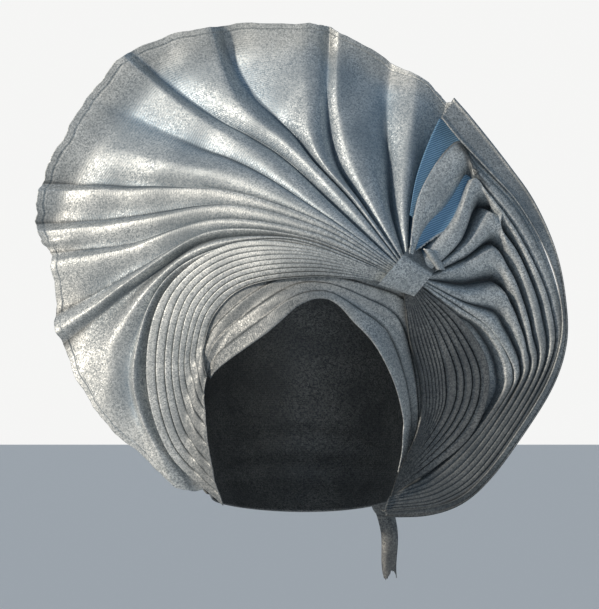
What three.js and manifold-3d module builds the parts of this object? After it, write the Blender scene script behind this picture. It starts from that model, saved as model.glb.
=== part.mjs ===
// A tied head tie of stiff pleated cloth: cap, brow band, fan, bow and knot.
// Millimetres, +Z up, the face looks along -Y, the origin is where the crown of a head touches the cap.

import * as THREE from 'three';
import { mergeVertices } from 'three/addons/utils/BufferGeometryUtils.js';
import Module from 'manifold-3d';

const wasm = await Module();
wasm.setup();

// Driving dimensions.
const fanWidth = 365;        // widest spread of the tied cloth, left to right
const fanHeight = 342;       // from the jaw up to the top of the fan
const headBreadth = 156;     // inside breadth of the cap
const headDepth = 196;       // inside depth of the cap, brow to back
const crownHeight = 100;     // crown of the head above its widest level
const napeReach = 115;       // lower half of the head's outline, of which the cap covers the upper part
const capEnd = 180;          // how far below the crown the cap ends at the nape
const clothThickness = 2;    // doubled stiff cloth
const layerGap = 0.5;        // air between layers that lie on each other
const dishDepth = 62;        // how far the fan's middle stands in front of its rim
const browBulge = 28;        // extra fullness of the pleats over the brow
const pleatStand = 5;        // how deep the pleats beside the face may fold
const foldStand = 13;        // how deep the broad folds of the fan may fold
const bowStand = 16;         // how deep the folds of the bow may fold
const bowLift = 12;          // how far the bow stands in front of the fan
const edgeCover = 8;         // how far the cap's edge stays back under the brow band
const knotWidth = 24;        // width of the strap round the gathered cloth
const knotDepth = 22;        // thickness of the bound bundle, front to back
const napeBandHeight = 18;   // band that ties the pleat ends round the nape
const napeKnotSize = 24;     // small knot beside the nape
const tailLength = 44;       // tail end that hangs from that knot
const tailWidth = 13;

// The chart: folds are placed in squares of a grid laid over the front view, columns counted to the right
// and rows downwards. Near the face a square is a share of the head, out at the rim a share of the fan.
const chart = {
  fanColumns: 532,
  fanRows: 499,
  headColumns: 227.4,
  crownRows: 145.9,
  crownColumn: 305,
  crownRow: 250,
};

// Folds of the fan, from the bow round over the top to the left cheek. Each has five places along its crest.
// valley says where the valley after it lies on the way to the next crest, depth and rimDepth say how deep it
// is beside the knot and at the rim, as a share of the distance between the two crests.
const fanFolds = [
  { root: [412, 250], low: [424, 215], middle: [438, 180], high: [450, 148], rim: [453, 102],
    valley: 0.5, depth: 0.5, rimDepth: 0.16 },
  { root: [407, 251], low: [405, 208], middle: [409, 160], high: [414, 115], rim: [419, 74],
    valley: 0.35, depth: 0.5, rimDepth: 0.14 },
  { root: [403, 254], low: [377, 208], middle: [352, 153], high: [338, 100], rim: [339, 30],
    valley: 0.25, depth: 0.5, rimDepth: 0.24 },
  { root: [399, 257], low: [358, 203], middle: [318, 152], high: [307, 90], rim: [306, 22],
    valley: 0.6, depth: 0.5, rimDepth: 0.12 },
  { root: [396, 260], low: [345, 200], middle: [290, 145], high: [236, 98], rim: [209, 25],
    valley: 0.75, depth: 0.5, rimDepth: 0.1 },
  { root: [394, 262], low: [330, 212], middle: [262, 157], high: [190, 110], rim: [125, 54],
    valley: 0.5, depth: 0.5, rimDepth: 0.12 },
  { root: [392, 264], low: [322, 216], middle: [243, 176], high: [155, 160], rim: [62, 135],
    valley: 0.8, depth: 0.5, rimDepth: 0.1 },
  { root: [391, 267], low: [320, 222], middle: [225, 191], high: [125, 189], rim: [37, 192],
    valley: 0.75, depth: 0.5, rimDepth: 0.16 },
  { root: [389, 269], low: [318, 228], middle: [225, 206], high: [130, 222], rim: [36, 232],
    valley: 0.75, depth: 0.5, rimDepth: 0.2 },
  { root: [387, 271], low: [315, 234], middle: [215, 220], high: [125, 249], rim: [50, 262],
    valley: 0.75, depth: 0.5, rimDepth: 0.12 },
  { root: [385, 273], low: [303, 237], middle: [208, 233], high: [126, 283], rim: [55, 333],
    valley: 0.12, depth: 0.5, rimDepth: 0.1 },
  { root: [384, 275], low: [288, 238], middle: [185, 256], high: [116, 336], rim: [97, 413],
    valley: 0.6, depth: 0.3, rimDepth: 0.04 },
  { root: [384, 276], low: [274, 240], middle: [166, 279], high: [134, 388], rim: [176, 487],
    valley: 0.7, depth: 0.3, rimDepth: 0.1 },
  { root: [383, 278], low: [271, 250], middle: [171, 297], high: [155, 408], rim: [217, 498],
    valley: 0.5, depth: 0.1, rimDepth: 0.1 },
];

// Pleats beside the face on the left, from the outer one to the one that lies on the brow band.
const leftPleats = [
  { root: [383, 277], brow: [308, 246], temple: [227, 245], ear: [164, 293], cheek: [146, 372],
    jaw: [166, 447], end: [223, 506] },
  { root: [382.5, 278], brow: [309, 250], temple: [230, 251], ear: [173, 293], cheek: [156, 367],
    jaw: [172, 442], end: [219.5, 495] },
  { root: [382, 279], brow: [310, 253], temple: [233, 256], ear: [181, 294], cheek: [165, 364],
    jaw: [178, 434], end: [215, 483] },
  { root: [381.6, 280.2], brow: [311, 256], temple: [236, 261], ear: [188, 296], cheek: [172, 361],
    jaw: [183, 425], end: [212, 467] },
  { root: [381.2, 281.4], brow: [312, 260], temple: [239, 266], ear: [194, 299], cheek: [179, 358],
    jaw: [187, 411], end: [208, 445] },
  { root: [380.7, 282.6], brow: [313, 264], temple: [241, 271], ear: [200, 302], cheek: [185, 356],
    jaw: [190.5, 399.5], end: [206, 425] },
  { root: [380.2, 283.8], brow: [314, 268], temple: [243, 276], ear: [205, 305], cheek: [190.5, 354],
    jaw: [195.5, 388], end: [205, 410] },
  { root: [379.7, 285], brow: [315, 272], temple: [246, 281], ear: [210, 308], cheek: [196.5, 351],
    jaw: [199, 374], end: [204, 394] },
  { root: [379.2, 286], brow: [316, 276.5], temple: [250, 285], ear: [216, 312], cheek: [203, 347],
    jaw: [203, 362], end: [206.5, 377] },
];

// Folds of the bow: each leaves the knot, turns a corner and runs down the right side to the jaw.
// lift is how far it stands in front of the fan at the knot, at the corner and at the jaw, in bow lifts.
const bowFolds = [
  { root: [408, 249], rise: [420, 190], corner: [449, 128], shoulder: [481, 156], side: [530, 212],
    hip: [562, 290], bend: [563, 350], sweep: [500, 470], under: [448, 507], jaw: [384, 514],
    valley: 0.5, depth: 0.3, bandDepth: 0.3, lift: [0.5, 1, 0.6] },
  { root: [411, 249], rise: [427, 192], corner: [458, 144], shoulder: [479, 174], side: [523, 225],
    hip: [556, 298], bend: [557, 360], sweep: [496, 466], under: [446, 503], jaw: [385, 511],
    valley: 0.75, depth: 0.7, bandDepth: 0.5, lift: [0.5, 1, 0.6] },
  { root: [437, 271], rise: [455, 233], corner: [473, 181], shoulder: [489, 194], side: [521, 239],
    hip: [550, 306], bend: [549, 366], sweep: [491, 462], under: [444, 499], jaw: [386, 508],
    valley: 0.55, depth: 0.6, bandDepth: 0.5, lift: [0.5, 1, 0.5] },
  { root: [440, 274], rise: [469, 248], corner: [495, 222], shoulder: [507, 240], side: [523, 267],
    hip: [539, 318], bend: [540, 372], sweep: [487, 458], under: [442, 495], jaw: [387, 505],
    valley: 0.55, depth: 0.6, bandDepth: 0.5, lift: [0.4, 0.8, 0.4] },
  { root: [441, 279], rise: [466, 268], corner: [495, 257], shoulder: [510, 276], side: [520, 298],
    hip: [531, 338], bend: [532, 377], sweep: [483, 454], under: [440, 490], jaw: [388, 502],
    valley: 0.5, depth: 0.6, bandDepth: 0.5, lift: [0.3, 0.6, 0.3] },
  { root: [438, 285], rise: [466, 297], corner: [502, 300], shoulder: [512, 314], side: [518, 328],
    hip: [525, 352], bend: [523, 381], sweep: [479, 450], under: [438, 486], jaw: [389, 499],
    valley: 0.4, depth: 0.4, bandDepth: 0.5, lift: [0.2, 0.4, 0.2] },
  { root: [435, 289], rise: [460, 305], corner: [487, 322], shoulder: [500, 338], side: [509, 352],
    hip: [517, 372], bend: [511, 392], sweep: [474, 446], under: [435, 481], jaw: [390, 497],
    valley: 0.4, depth: 0.4, bandDepth: 0.4, lift: [0.1, 0.2, 0.1] },
  { root: [432, 292], rise: [458, 311], corner: [481, 325], shoulder: [493, 338], side: [502, 353],
    hip: [508, 372], bend: [504, 395], sweep: [469, 442], under: [431, 476], jaw: [391, 495],
    valley: 0.4, depth: 0.3, bandDepth: 0.3, lift: [0, 0, 0] },
  { root: [427, 295], rise: [450, 313], corner: [463, 328], shoulder: [474, 343], side: [481, 356],
    hip: [486, 374], bend: [485, 395], sweep: [459, 438], under: [427, 468], jaw: [392, 493],
    valley: 0.5, depth: 0.1, bandDepth: 0.1, lift: [-0.2, -0.2, -0.2] },
];

// Pleats that fall from under the knot on the right, from the outer one to the one beside the brow band.
// pleats is the number of equal pleats from this row to the next.
const rightPleats = [
  { root: [429, 294], fall: [467, 326], side: [490, 376], turn: [465, 435], jaw: [392, 493], pleats: 1 },
  { root: [427, 296], fall: [459, 330], side: [480, 380], turn: [460, 432], jaw: [392.5, 491.5], pleats: 1 },
  { root: [424, 298], fall: [453, 331], side: [472, 380], turn: [455, 429], jaw: [393, 490], pleats: 1 },
  { root: [421, 300], fall: [446, 332], side: [463.5, 380], turn: [450, 426], jaw: [393.5, 488.5], pleats: 1 },
  { root: [418, 301], fall: [440, 333], side: [456, 380], turn: [445, 423], jaw: [394, 487], pleats: 1 },
  { root: [415, 302], fall: [434, 335], side: [445, 380], turn: [439, 420], jaw: [394.5, 485.5], pleats: 7 },
  { root: [406, 304], fall: [414, 341], side: [420, 380], turn: [418, 425], jaw: [396, 480], pleats: 0 },
];

// The flat band that borders the bow, from its cut end at the top down to the jaw: its two edges.
const borderBand = [
  { outer: [456, 98], inner: [442, 118] },
  { outer: [475, 120], inner: [460, 140] },
  { outer: [510, 164.5], inner: [492, 174] },
  { outer: [536, 202], inner: [519, 204] },
  { outer: [557, 250], inner: [546, 250] },
  { outer: [566.5, 300], inner: [560, 291] },
  { outer: [567, 345], inner: [563, 335] },
  { outer: [552, 390], inner: [547, 385] },
  { outer: [516, 446], inner: [511, 442] },
  { outer: [465, 500], inner: [461, 496] },
  { outer: [414, 517.5], inner: [413, 513] },
];

// The edge of the face opening, from the left jaw over the brow to the right jaw.
const faceEdge = [[216, 486], [210, 462], [205.5, 420], [207, 382], [227, 360], [265, 333], [300, 305], [328, 299],
  [353, 320], [376, 344.5], [395, 381], [404.6, 417], [404, 455], [396, 479]];

// The brow band from the left cheek over the brow to the right jaw: its edge at the face, its hidden edge.
const browBand = [
  { face: [209, 378], hidden: [203, 362] },
  { face: [214, 371], hidden: [199, 338] },
  { face: [227, 360], hidden: [208, 312] },
  { face: [265, 333], hidden: [244, 275] },
  { face: [299, 306], hidden: [288, 264] },
  { face: [328, 299], hidden: [327, 268] },
  { face: [353, 320], hidden: [372, 280] },
  { face: [376, 344.5], hidden: [413, 304] },
  { face: [395, 381], hidden: [432, 350] },
  { face: [404.6, 417], hidden: [433, 408] },
  { face: [404.6, 434], hidden: [426, 434] },
  { face: [403.5, 457], hidden: [415, 457] },
];

// The knot's outline in shares of its width: how far below and above its middle it reaches at either end.
const knotEnds = {
  fanSide: { low: -0.76, crease: 0.34, high: 0.83 },
  bowSide: { low: -0.36, crease: 0.47, high: 0.79 },
};
const knotMiddle = [408, 276];

const mix = (a, b, share) => a + (b - a) * share;

const clamp = (value, low, high) => Math.min(high, Math.max(low, value));

const smooth = (low, high, value) => {
  const share = clamp((value - low) / (high - low), 0, 1);
  return share * share * (3 - 2 * share);
};

// A chart square's place in the front view, [x, z].
function place([column, row]) {
  const across = column - chart.crownColumn;
  const up = chart.crownRow - row;
  const out = smooth(0.3, 1, Math.hypot((2 * across) / chart.fanColumns, up / chart.fanRows));
  const acrossScale = mix(headBreadth / chart.headColumns, fanWidth / chart.fanColumns, out);
  const upScale = mix(crownHeight / chart.crownRows, fanHeight / chart.fanRows, out);
  return [across * acrossScale, up * upScale];
}

// A smooth curve through a list of points of any number of coordinates, at a share of its way.
function curveAt(points, share) {
  const last = points.length - 1;
  const position = share * last;
  const index = clamp(Math.floor(position), 0, last - 1);
  const t = position - index;
  const beyond = (a, b) => a.map((value, k) => 2 * value - b[k]);
  const p1 = points[index];
  const p2 = points[index + 1];
  const p0 = index > 0 ? points[index - 1] : beyond(p1, p2);
  const p3 = index + 2 <= last ? points[index + 2] : beyond(p2, p1);
  return p1.map((value, k) => value + 0.5 * t * (p2[k] - p0[k]
    + t * (2 * p0[k] - 5 * value + 4 * p2[k] - p3[k] + t * (3 * (value - p2[k]) + p3[k] - p0[k]))));
}

// Head and cap: an egg about its widest level, grown by a wall or a layer.
function headReach(direction, grown) {
  const down = direction[2] < 0 ? napeReach : crownHeight;
  const a = direction[0] / (headBreadth / 2 + grown);
  const b = direction[1] / (headDepth / 2 + grown);
  const c = direction[2] / (down + grown);
  return 1 / Math.hypot(a, b, c);
}

// How far the front of the grown head stands forward at a place of the front view, 0 beside the head.
function headFront(x, z, grown) {
  const height = z + crownHeight;
  const down = height < 0 ? napeReach : crownHeight;
  const a = x / (headBreadth / 2 + grown);
  const c = height / (down + grown);
  return (headDepth / 2 + grown) * Math.sqrt(Math.max(0, 1 - a * a - c * c));
}

// How far out a place lies from the middle of the face opening: 1 on its edge, more beyond it.
function faceReach(x, z) {
  const height = z + 1.15 * crownHeight;
  return Math.hypot(x / (0.43 * headBreadth), height / ((height > 0 ? 0.81 : 1.05) * crownHeight));
}

// Layers over the head: at the face edge the cloth lies on the cap, further out the pleats lie on the band.
const edgeStack = 2 * clothThickness + layerGap;
const fullStack = edgeStack + layerGap + clothThickness + pleatStand;

// Depth of the tied cloth in the front view: a shallow dish, fuller at the brow, always clear of the head.
// under is how far beneath the pleats' crests the layer lies.
function clothDepth(x, z, under = 0) {
  const out = (x / (0.52 * fanWidth)) ** 2 + ((z + 0.6 * crownHeight) / (0.585 * fanHeight)) ** 2;
  const brow = Math.exp(-((x / (0.48 * headBreadth)) ** 2) - ((z + 0.2 * crownHeight) / (0.55 * crownHeight)) ** 2);
  const stack = mix(edgeStack, fullStack, smooth(1, 1.2, faceReach(x, z)));
  const layer = Math.max(edgeStack, stack - under);
  const head = headFront(x, z, layer);
  const dish = dishDepth * (1 - out) + browBulge * brow - (stack - layer);
  const blend = 3;
  return 0.5 * (dish + head + Math.hypot(dish - head, blend));
}

// A body from a grid of front points and a grid of back points: both faces and the four edges.
function wallBody(front, back, closed = false) {
  const rows = front.length;
  const columns = front[0].length;
  const corners = [...front, ...back].flat(2);
  const at = (side, i, j) => side * rows * columns + i * columns + (j % columns);
  const faces = [];
  const quad = (a, b, c, d) => faces.push(a, b, c, a, c, d);
  const spans = closed ? columns : columns - 1;
  for (let i = 0; i < rows - 1; i += 1) {
    for (let j = 0; j < spans; j += 1) {
      quad(at(0, i, j), at(0, i + 1, j), at(0, i + 1, j + 1), at(0, i, j + 1));
      quad(at(1, i, j), at(1, i, j + 1), at(1, i + 1, j + 1), at(1, i + 1, j));
    }
  }
  for (let j = 0; j < spans; j += 1) {
    quad(at(0, 0, j), at(0, 0, j + 1), at(1, 0, j + 1), at(1, 0, j));
    quad(at(0, rows - 1, j), at(1, rows - 1, j), at(1, rows - 1, j + 1), at(0, rows - 1, j + 1));
  }
  if (!closed) {
    for (let i = 0; i < rows - 1; i += 1) {
      quad(at(0, i, 0), at(1, i, 0), at(1, i + 1, 0), at(0, i + 1, 0));
      quad(at(0, i, columns - 1), at(0, i + 1, columns - 1), at(1, i + 1, columns - 1), at(1, i, columns - 1));
    }
  }
  return bodyGeometry(corners, faces);
}

// A geometry from flat lists, turned inside out when its faces point inwards.
function bodyGeometry(corners, faces) {
  let volume = 0;
  for (let k = 0; k < faces.length; k += 3) {
    const [a, b, c] = [0, 1, 2].map((n) => new THREE.Vector3().fromArray(corners, 3 * faces[k + n]));
    volume += a.dot(b.cross(c));
  }
  if (volume < 0) {
    faces.reverse();
  }
  const geometry = new THREE.BufferGeometry();
  geometry.setAttribute('position', new THREE.Float32BufferAttribute(corners, 3));
  geometry.setIndex(faces);
  return mergeVertices(geometry, 1e-3);
}

const towards = (point, direction, length) => point.map((value, k) => value + direction[k] * length);

// Unit direction across a surface grid, pointing to the front, by the change along both ways of the grid.
function facing(surface, a, v) {
  const step = 1e-3;
  const along = new THREE.Vector3(...surface(a, Math.min(1, v + step)))
    .sub(new THREE.Vector3(...surface(a, Math.max(0, v - step))));
  const across = new THREE.Vector3(...surface(a + step, v)).sub(new THREE.Vector3(...surface(a - step, v)));
  const normal = along.cross(across).normalize();
  if (normal.y > 0) {
    normal.negate();
  }
  return normal.toArray();
}

// Cloth wall over a smooth surface: stand(a, v) is how far its front stands off that surface.
function clothWall(surface, acrossSteps, alongSteps, stand, thickness = clothThickness) {
  const front = [];
  const back = [];
  for (const a of acrossSteps) {
    const frontRow = [];
    const backRow = [];
    for (const v of alongSteps) {
      const normal = facing(surface, a, v);
      const point = surface(a, v);
      const height = stand(a, v);
      frontRow.push(towards(point, normal, height));
      backRow.push(towards(point, normal, height - thickness));
    }
    front.push(frontRow);
    back.push(backRow);
  }
  return wallBody(front, back);
}

const steps = (count) => Array.from({ length: count + 1 }, (_, k) => k / count);

// A fold's start, drawn in under the strap of the knot.
const gathered = (root) => root.map((value, k) => mix(value, knotMiddle[k], 0.4));

// Front-view surface between fold routes: a counts the folds, v runs from the knot to the far end.
function foldSurface(routes, depthAt) {
  return (a, v) => {
    const places = routes.map((route) => curveAt(route, v));
    const [x, z] = curveAt(places, a / (routes.length - 1));
    return [x, -depthAt(x, z, a, v), z];
  };
}

// Distance between one fold and the next in the front view.
function foldGap(routes, index, v) {
  const here = curveAt(routes[index], v);
  const next = curveAt(routes[index + 1], v);
  return Math.hypot(here[0] - next[0], here[1] - next[1]);
}

// One fold's profile between two crests: 0 on the crests, 1 in the valley.
function valleyShape(share, valley) {
  const way = share < valley ? share / valley : (1 - share) / (1 - valley);
  return 0.5 - 0.5 * Math.cos(Math.PI * way);
}

// Where to cut each fold across: crest, slope, valley, slope.
function foldCuts(valleys, slopes) {
  const cuts = [];
  valleys.forEach((valley, index) => {
    cuts.push(index);
    if (slopes > 1 || (slopes > 0 && valley > 0.5)) {
      cuts.push(index + valley / 2);
    }
    cuts.push(index + valley);
    if (slopes > 1 || (slopes > 0 && valley <= 0.5)) {
      cuts.push(index + (1 + valley) / 2);
    }
  });
  cuts.push(valleys.length);
  return cuts;
}

// How deep cloth stands at a of a folded sheet, from each fold's valley place and depth.
function foldStandAt(valleys, depthAt) {
  return (a, v) => {
    const index = Math.min(Math.floor(a + 1e-9), valleys.length - 1);
    return -depthAt(index, v) * valleyShape(clamp(a - index, 0, 1), valleys[index]);
  };
}

// The knot: a strap bound tightly round the gathered cloth, wider on the fan's side, creased near its top.
const knotPlace = place(knotMiddle);
const knotUp = [0.642, 0.766];
const knotAlong = [0.766, -0.642];
const knotFront = -clothDepth(...knotPlace) - 0.4 * knotDepth;

function knotBody(grown) {
  const rings = steps(4).map((share) => {
    const ends = ['low', 'crease', 'high'].map((name) => (
      mix(knotEnds.fanSide[name], knotEnds.bowSide[name], share) * knotWidth));
    const along = mix(-0.5 * knotWidth - grown, 0.5 * knotWidth + grown, share);
    const [low, crease, high] = ends;
    const section = [
      [low - grown, 0.45], [mix(low, crease, 0.12), 0.12], [mix(low, crease, 0.5), 0.02], [crease, 0],
      [mix(crease, high, 0.75), 0.16], [high + grown, 0.5], [mix(crease, high, 0.6), 0.92], [mix(low, high, 0.5), 1],
      [mix(low, crease, 0.2), 0.9],
    ];
    return section.map(([up, deep]) => {
      const push = (deep - 0.5) * 2 * grown;
      return [
        knotPlace[0] + knotUp[0] * up + knotAlong[0] * along,
        knotFront + deep * knotDepth + push,
        knotPlace[1] + knotUp[1] * up + knotAlong[1] * along,
      ];
    });
  });
  const corners = rings.flat(2);
  const size = rings[0].length;
  const faces = [];
  for (let i = 0; i < rings.length - 1; i += 1) {
    for (let j = 0; j < size; j += 1) {
      const next = (j + 1) % size;
      faces.push(i * size + j, (i + 1) * size + j, (i + 1) * size + next);
      faces.push(i * size + j, (i + 1) * size + next, i * size + next);
    }
  }
  const end = (rings.length - 1) * size;
  for (let j = 1; j < size - 1; j += 1) {
    faces.push(0, j, j + 1);
    faces.push(end, end + j + 1, end + j);
  }
  return bodyGeometry(corners, faces);
}

// Solids for cuts, and back.
function solidOf(geometry) {
  const mesh = new wasm.Mesh({
    numProp: 3,
    vertProperties: new Float32Array(geometry.getAttribute('position').array),
    triVerts: new Uint32Array(geometry.index.array),
  });
  return new wasm.Manifold(mesh);
}

function geometryOf(solid) {
  const mesh = solid.getMesh();
  const geometry = new THREE.BufferGeometry();
  geometry.setAttribute('position', new THREE.Float32BufferAttribute(Array.from(mesh.vertProperties), 3));
  geometry.setIndex(Array.from(mesh.triVerts));
  return mergeVertices(geometry, 1e-3);
}

// What is left of a cloth wall outside its neighbours, without the crumbs that a cut leaves.
function clearOf(geometry, ...neighbours) {
  let solid = solidOf(geometry);
  for (const neighbour of neighbours) {
    solid = solid.subtract(solidOf(neighbour));
  }
  const pieces = solid.decompose();
  pieces.sort((a, b) => b.volume() - a.volume());
  return geometryOf(pieces[0]);
}

// The cap's edge, once round as turn goes from 0 to 1: up over the brow, then back round the nape.
const faceTurn = 0.62;

function capEdge(turn) {
  if (turn < faceTurn) {
    const [x, z] = curveAt(faceEdge.map(place), turn / faceTurn);
    const away = new THREE.Vector2(x, z + 1.15 * crownHeight).setLength(edgeCover);
    const level = z + away.y + crownHeight;
    const widest = 0.485 * headBreadth * Math.sqrt(1 - (level / (level < 0 ? napeReach : crownHeight)) ** 2);
    const across = clamp(x + away.x, -widest, widest);
    return [across, -headFront(across, level - crownHeight, 0), level];
  }
  const share = (turn - faceTurn) / (1 - faceTurn);
  const start = capEdge(faceTurn - 1e-6);
  const finish = capEdge(0);
  const angle = mix(Math.atan2(start[1], start[0]), Math.atan2(finish[1], finish[0]) + 2 * Math.PI, share);
  const level = mix(mix(start[2], finish[2], share), crownHeight - capEnd, Math.sin(Math.PI * share));
  const ring = Math.sqrt(1 - (level / napeReach) ** 2);
  return [Math.cos(angle) * ring * headBreadth / 2, Math.sin(angle) * ring * headDepth / 2, level];
}

function headCap() {
  const pole = new THREE.Vector3(0, 1, 0.15).normalize();
  const surface = (turn, out, grown) => {
    const edge = new THREE.Vector3(...capEdge(turn % 1)).normalize();
    const angle = pole.angleTo(edge);
    const sine = Math.sin(angle);
    const direction = pole.clone().multiplyScalar(Math.sin((1 - out) * angle) / sine)
      .add(edge.multiplyScalar(Math.sin(out * angle) / sine));
    const reach = headReach(direction.toArray(), grown);
    return direction.multiplyScalar(reach).add(new THREE.Vector3(0, 0, -crownHeight)).toArray();
  };
  return (grown) => {
    const sectors = 32;
    const outs = steps(8).slice(1);
    outs[outs.length - 1] += grown / headDepth;
    const wall = (offset) => outs.map((out) => (
      steps(sectors).slice(0, sectors).map((turn) => surface(turn, out, offset))));
    const corners = [...wall(clothThickness + grown), ...wall(-grown)].flat(2);
    const pole0 = corners.length / 3;
    corners.push(...surface(0, 0, clothThickness + grown), ...surface(0, 0, -grown));
    const count = outs.length;
    const at = (side, i, j) => (side * count + i) * sectors + (j % sectors);
    const faces = [];
    for (let j = 0; j < sectors; j += 1) {
      faces.push(pole0, at(0, 0, j), at(0, 0, j + 1), pole0 + 1, at(1, 0, j + 1), at(1, 0, j));
      for (let i = 0; i < count - 1; i += 1) {
        faces.push(at(0, i, j), at(0, i + 1, j), at(0, i + 1, j + 1));
        faces.push(at(0, i, j), at(0, i + 1, j + 1), at(0, i, j + 1));
        faces.push(at(1, i, j), at(1, i + 1, j + 1), at(1, i + 1, j));
        faces.push(at(1, i, j), at(1, i, j + 1), at(1, i + 1, j + 1));
      }
      faces.push(at(0, count - 1, j), at(1, count - 1, j), at(1, count - 1, j + 1));
      faces.push(at(0, count - 1, j), at(1, count - 1, j + 1), at(0, count - 1, j + 1));
    }
    return bodyGeometry(corners, faces);
  };
}

// A folded sheet: its smooth surface, where it is cut across and along, and how its front stands.
// grown makes it larger all round, for cutting room for it in a neighbour.
function foldedWall({ surface, across, along, stand }, grown = 0) {
  const over = 0.004 * Math.sign(grown);
  const widened = across.map((a, k) => (k === 0 ? a - 60 * over : k === across.length - 1 ? a + 60 * over : a));
  const longer = along.map((v, k) => (k === 0 ? v - over : k === along.length - 1 ? v + over : v));
  const edge = (value, list) => clamp(value, list[0], list[list.length - 1]);
  const standing = (a, v) => stand(edge(a, across), edge(v, along)) + grown;
  return clothWall(surface, widened, longer, standing, clothThickness + 2 * grown);
}

// Brow band: lies on the cap along the face opening and runs out under the pleats.
function browBandSheet() {
  const strips = 4;
  const face = browBand.map((row) => place(row.face));
  const hidden = browBand.map((row) => place(row.hidden));
  const surface = (a, v) => {
    const from = curveAt(face, v);
    const to = curveAt(hidden, v);
    const x = mix(from[0], to[0], a / strips);
    const z = mix(from[1], to[1], a / strips);
    return [x, -clothDepth(x, z, fullStack), z];
  };
  const fold = 0.4 * clothThickness;
  const pressed = 2 * layerGap;
  const stand = (a) => fold * (1 - (a % 1)) * Math.min(1, 2 * a) - pressed;
  const across = [0, 0.5];
  for (let strip = 1; strip < strips; strip += 1) {
    across.push(strip - 0.05, strip);
  }
  across.push(strips - 0.05);
  return { surface, across, along: steps(24), stand };
}

const depthUnderPleats = pleatStand + clothThickness + layerGap;

// Fan: broad folds from the knot to the rim. Its last fold runs under the pleats beside the face.
function fanSheet() {
  const routes = fanFolds.map((row) => [gathered(row.root), row.low, row.middle, row.high, row.rim].map(place));
  const surface = foldSurface(routes, (x, z) => clothDepth(x, z));
  const valleys = fanFolds.slice(0, -1).map((row) => row.valley);
  const depthAt = (index, v) => Math.min(foldStand, foldGap(routes, index, v)
    * mix(fanFolds[index].depth, fanFolds[index].rimDepth, v));
  const folds = foldStandAt(valleys, depthAt);
  const last = valleys.length;
  const stand = (a, v) => folds(a, v) - depthUnderPleats * smooth(last - 1.1, last - 0.3, a);
  return { surface, across: foldCuts(valleys, 2), along: steps(12), stand };
}

// Pleats beside the face: crisp noses that face outwards, each lying over the one outside it.
function leftPleatSheet() {
  const routes = leftPleats.map((row) => (
    [gathered(row.root), row.brow, row.temple, row.ear, row.cheek, row.jaw, row.end].map(place)));
  return pleatSheet(routes, 0.8, steps(20), () => 0);
}

// Room for the brow band where pleats come down to the face edge over it.
const overBand = (x, z) => (clothThickness + 2 * layerGap) * (1 - smooth(1, 1.2, faceReach(x, z)));

// Pleats under the knot on the right, fine ones beside the brow band.
function rightPleatSheet() {
  const rows = rightPleats.map((row) => [gathered(row.root), row.fall, row.side, row.turn, row.jaw].map(place));
  const routes = [];
  rightPleats.forEach((row, index) => {
    const next = rows[index + 1];
    for (let k = 0; k < row.pleats; k += 1) {
      routes.push(rows[index].map((point, column) => (
        point.map((value, axis) => mix(value, next[column][axis], k / row.pleats)))));
    }
  });
  routes.push(rows[rows.length - 1]);
  return pleatSheet(routes, 0.75, steps(12), overBand);
}

// Equal pleats between routes: deepest at the share nose of the way to the next crest.
function pleatSheet(routes, nose, along, lift) {
  const surface = foldSurface(routes, (x, z) => clothDepth(x, z) + lift(x, z));
  const valleys = routes.slice(0, -1).map(() => nose);
  const depthAt = (index, v) => {
    const [x, z] = curveAt(routes[index], v);
    return Math.min(pleatStand, 0.4 * foldGap(routes, index, v)) * smooth(0.95, 1.2, faceReach(x, z));
  };
  return { surface, across: foldCuts(valleys, 0), along, stand: foldStandAt(valleys, depthAt) };
}

// Bow: deep rolls from the knot to their corners, then layered bands down the right side.
const cornerShare = 2 / 9;

function bowLiftAt(a, v) {
  const [root, corner, jaw] = curveAt(bowFolds.map((row) => row.lift), a / (bowFolds.length - 1));
  const lift = v < cornerShare ? mix(root, corner, v / cornerShare) : mix(corner, jaw, (v - cornerShare) / (1 - cornerShare));
  return lift * bowLift;
}

function bowSheet() {
  const routes = bowFolds.map((row) => [gathered(row.root), row.rise, row.corner, row.shoulder, row.side, row.hip,
    row.bend, row.sweep, row.under, row.jaw].map(place));
  const surface = foldSurface(routes, (x, z, a, v) => clothDepth(x, z) + bowLiftAt(a, v));
  const valleys = bowFolds.slice(0, -1).map((row) => row.valley);
  const depthAt = (index, v) => Math.min(bowStand, foldGap(routes, index, v)
    * mix(bowFolds[index].depth, bowFolds[index].bandDepth, smooth(0.2, 0.35, v)));
  const folds = foldStandAt(valleys, depthAt);
  const last = valleys.length;
  const stand = (a, v) => folds(a, v) - depthUnderPleats * smooth(last - 1, last - 0.3, a);
  return { surface, across: foldCuts(valleys, 1), along: steps(18), stand };
}

// Border band: one flat strip in front of the bow's outermost fold.
function borderSheet() {
  const outer = borderBand.map((row) => place(row.outer));
  const inner = borderBand.map((row) => place(row.inner));
  const surface = (a, v) => {
    const from = curveAt(inner, v);
    const to = curveAt(outer, v);
    const x = mix(from[0], to[0], a);
    const z = mix(from[1], to[1], a);
    const lift = bowLift * mix(1, 0.6, v) + clothThickness + 2 * layerGap;
    return [x, -clothDepth(x, z) - lift, z];
  };
  return { surface, across: [0, 0.5, 1], along: steps(20), stand: (a) => clothThickness * a * (1 - a) };
}

// Curled end of cloth beside the knot.
function tuckWall() {
  const start = place([441, 268]);
  const finish = place([447, 236]);
  const surface = (a, v) => {
    const curl = Math.PI * 0.9 * (a - 0.5);
    const x = mix(start[0], finish[0], v) + 4.5 * Math.sin(curl);
    const z = mix(start[1], finish[1], v) + 2 * Math.sin(Math.PI * v) * a;
    return [x, -clothDepth(x, z) + 5 - 4.5 * Math.cos(curl), z];
  };
  return clothWall(surface, steps(6), steps(5), () => 0, 0.75 * clothThickness);
}

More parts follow.
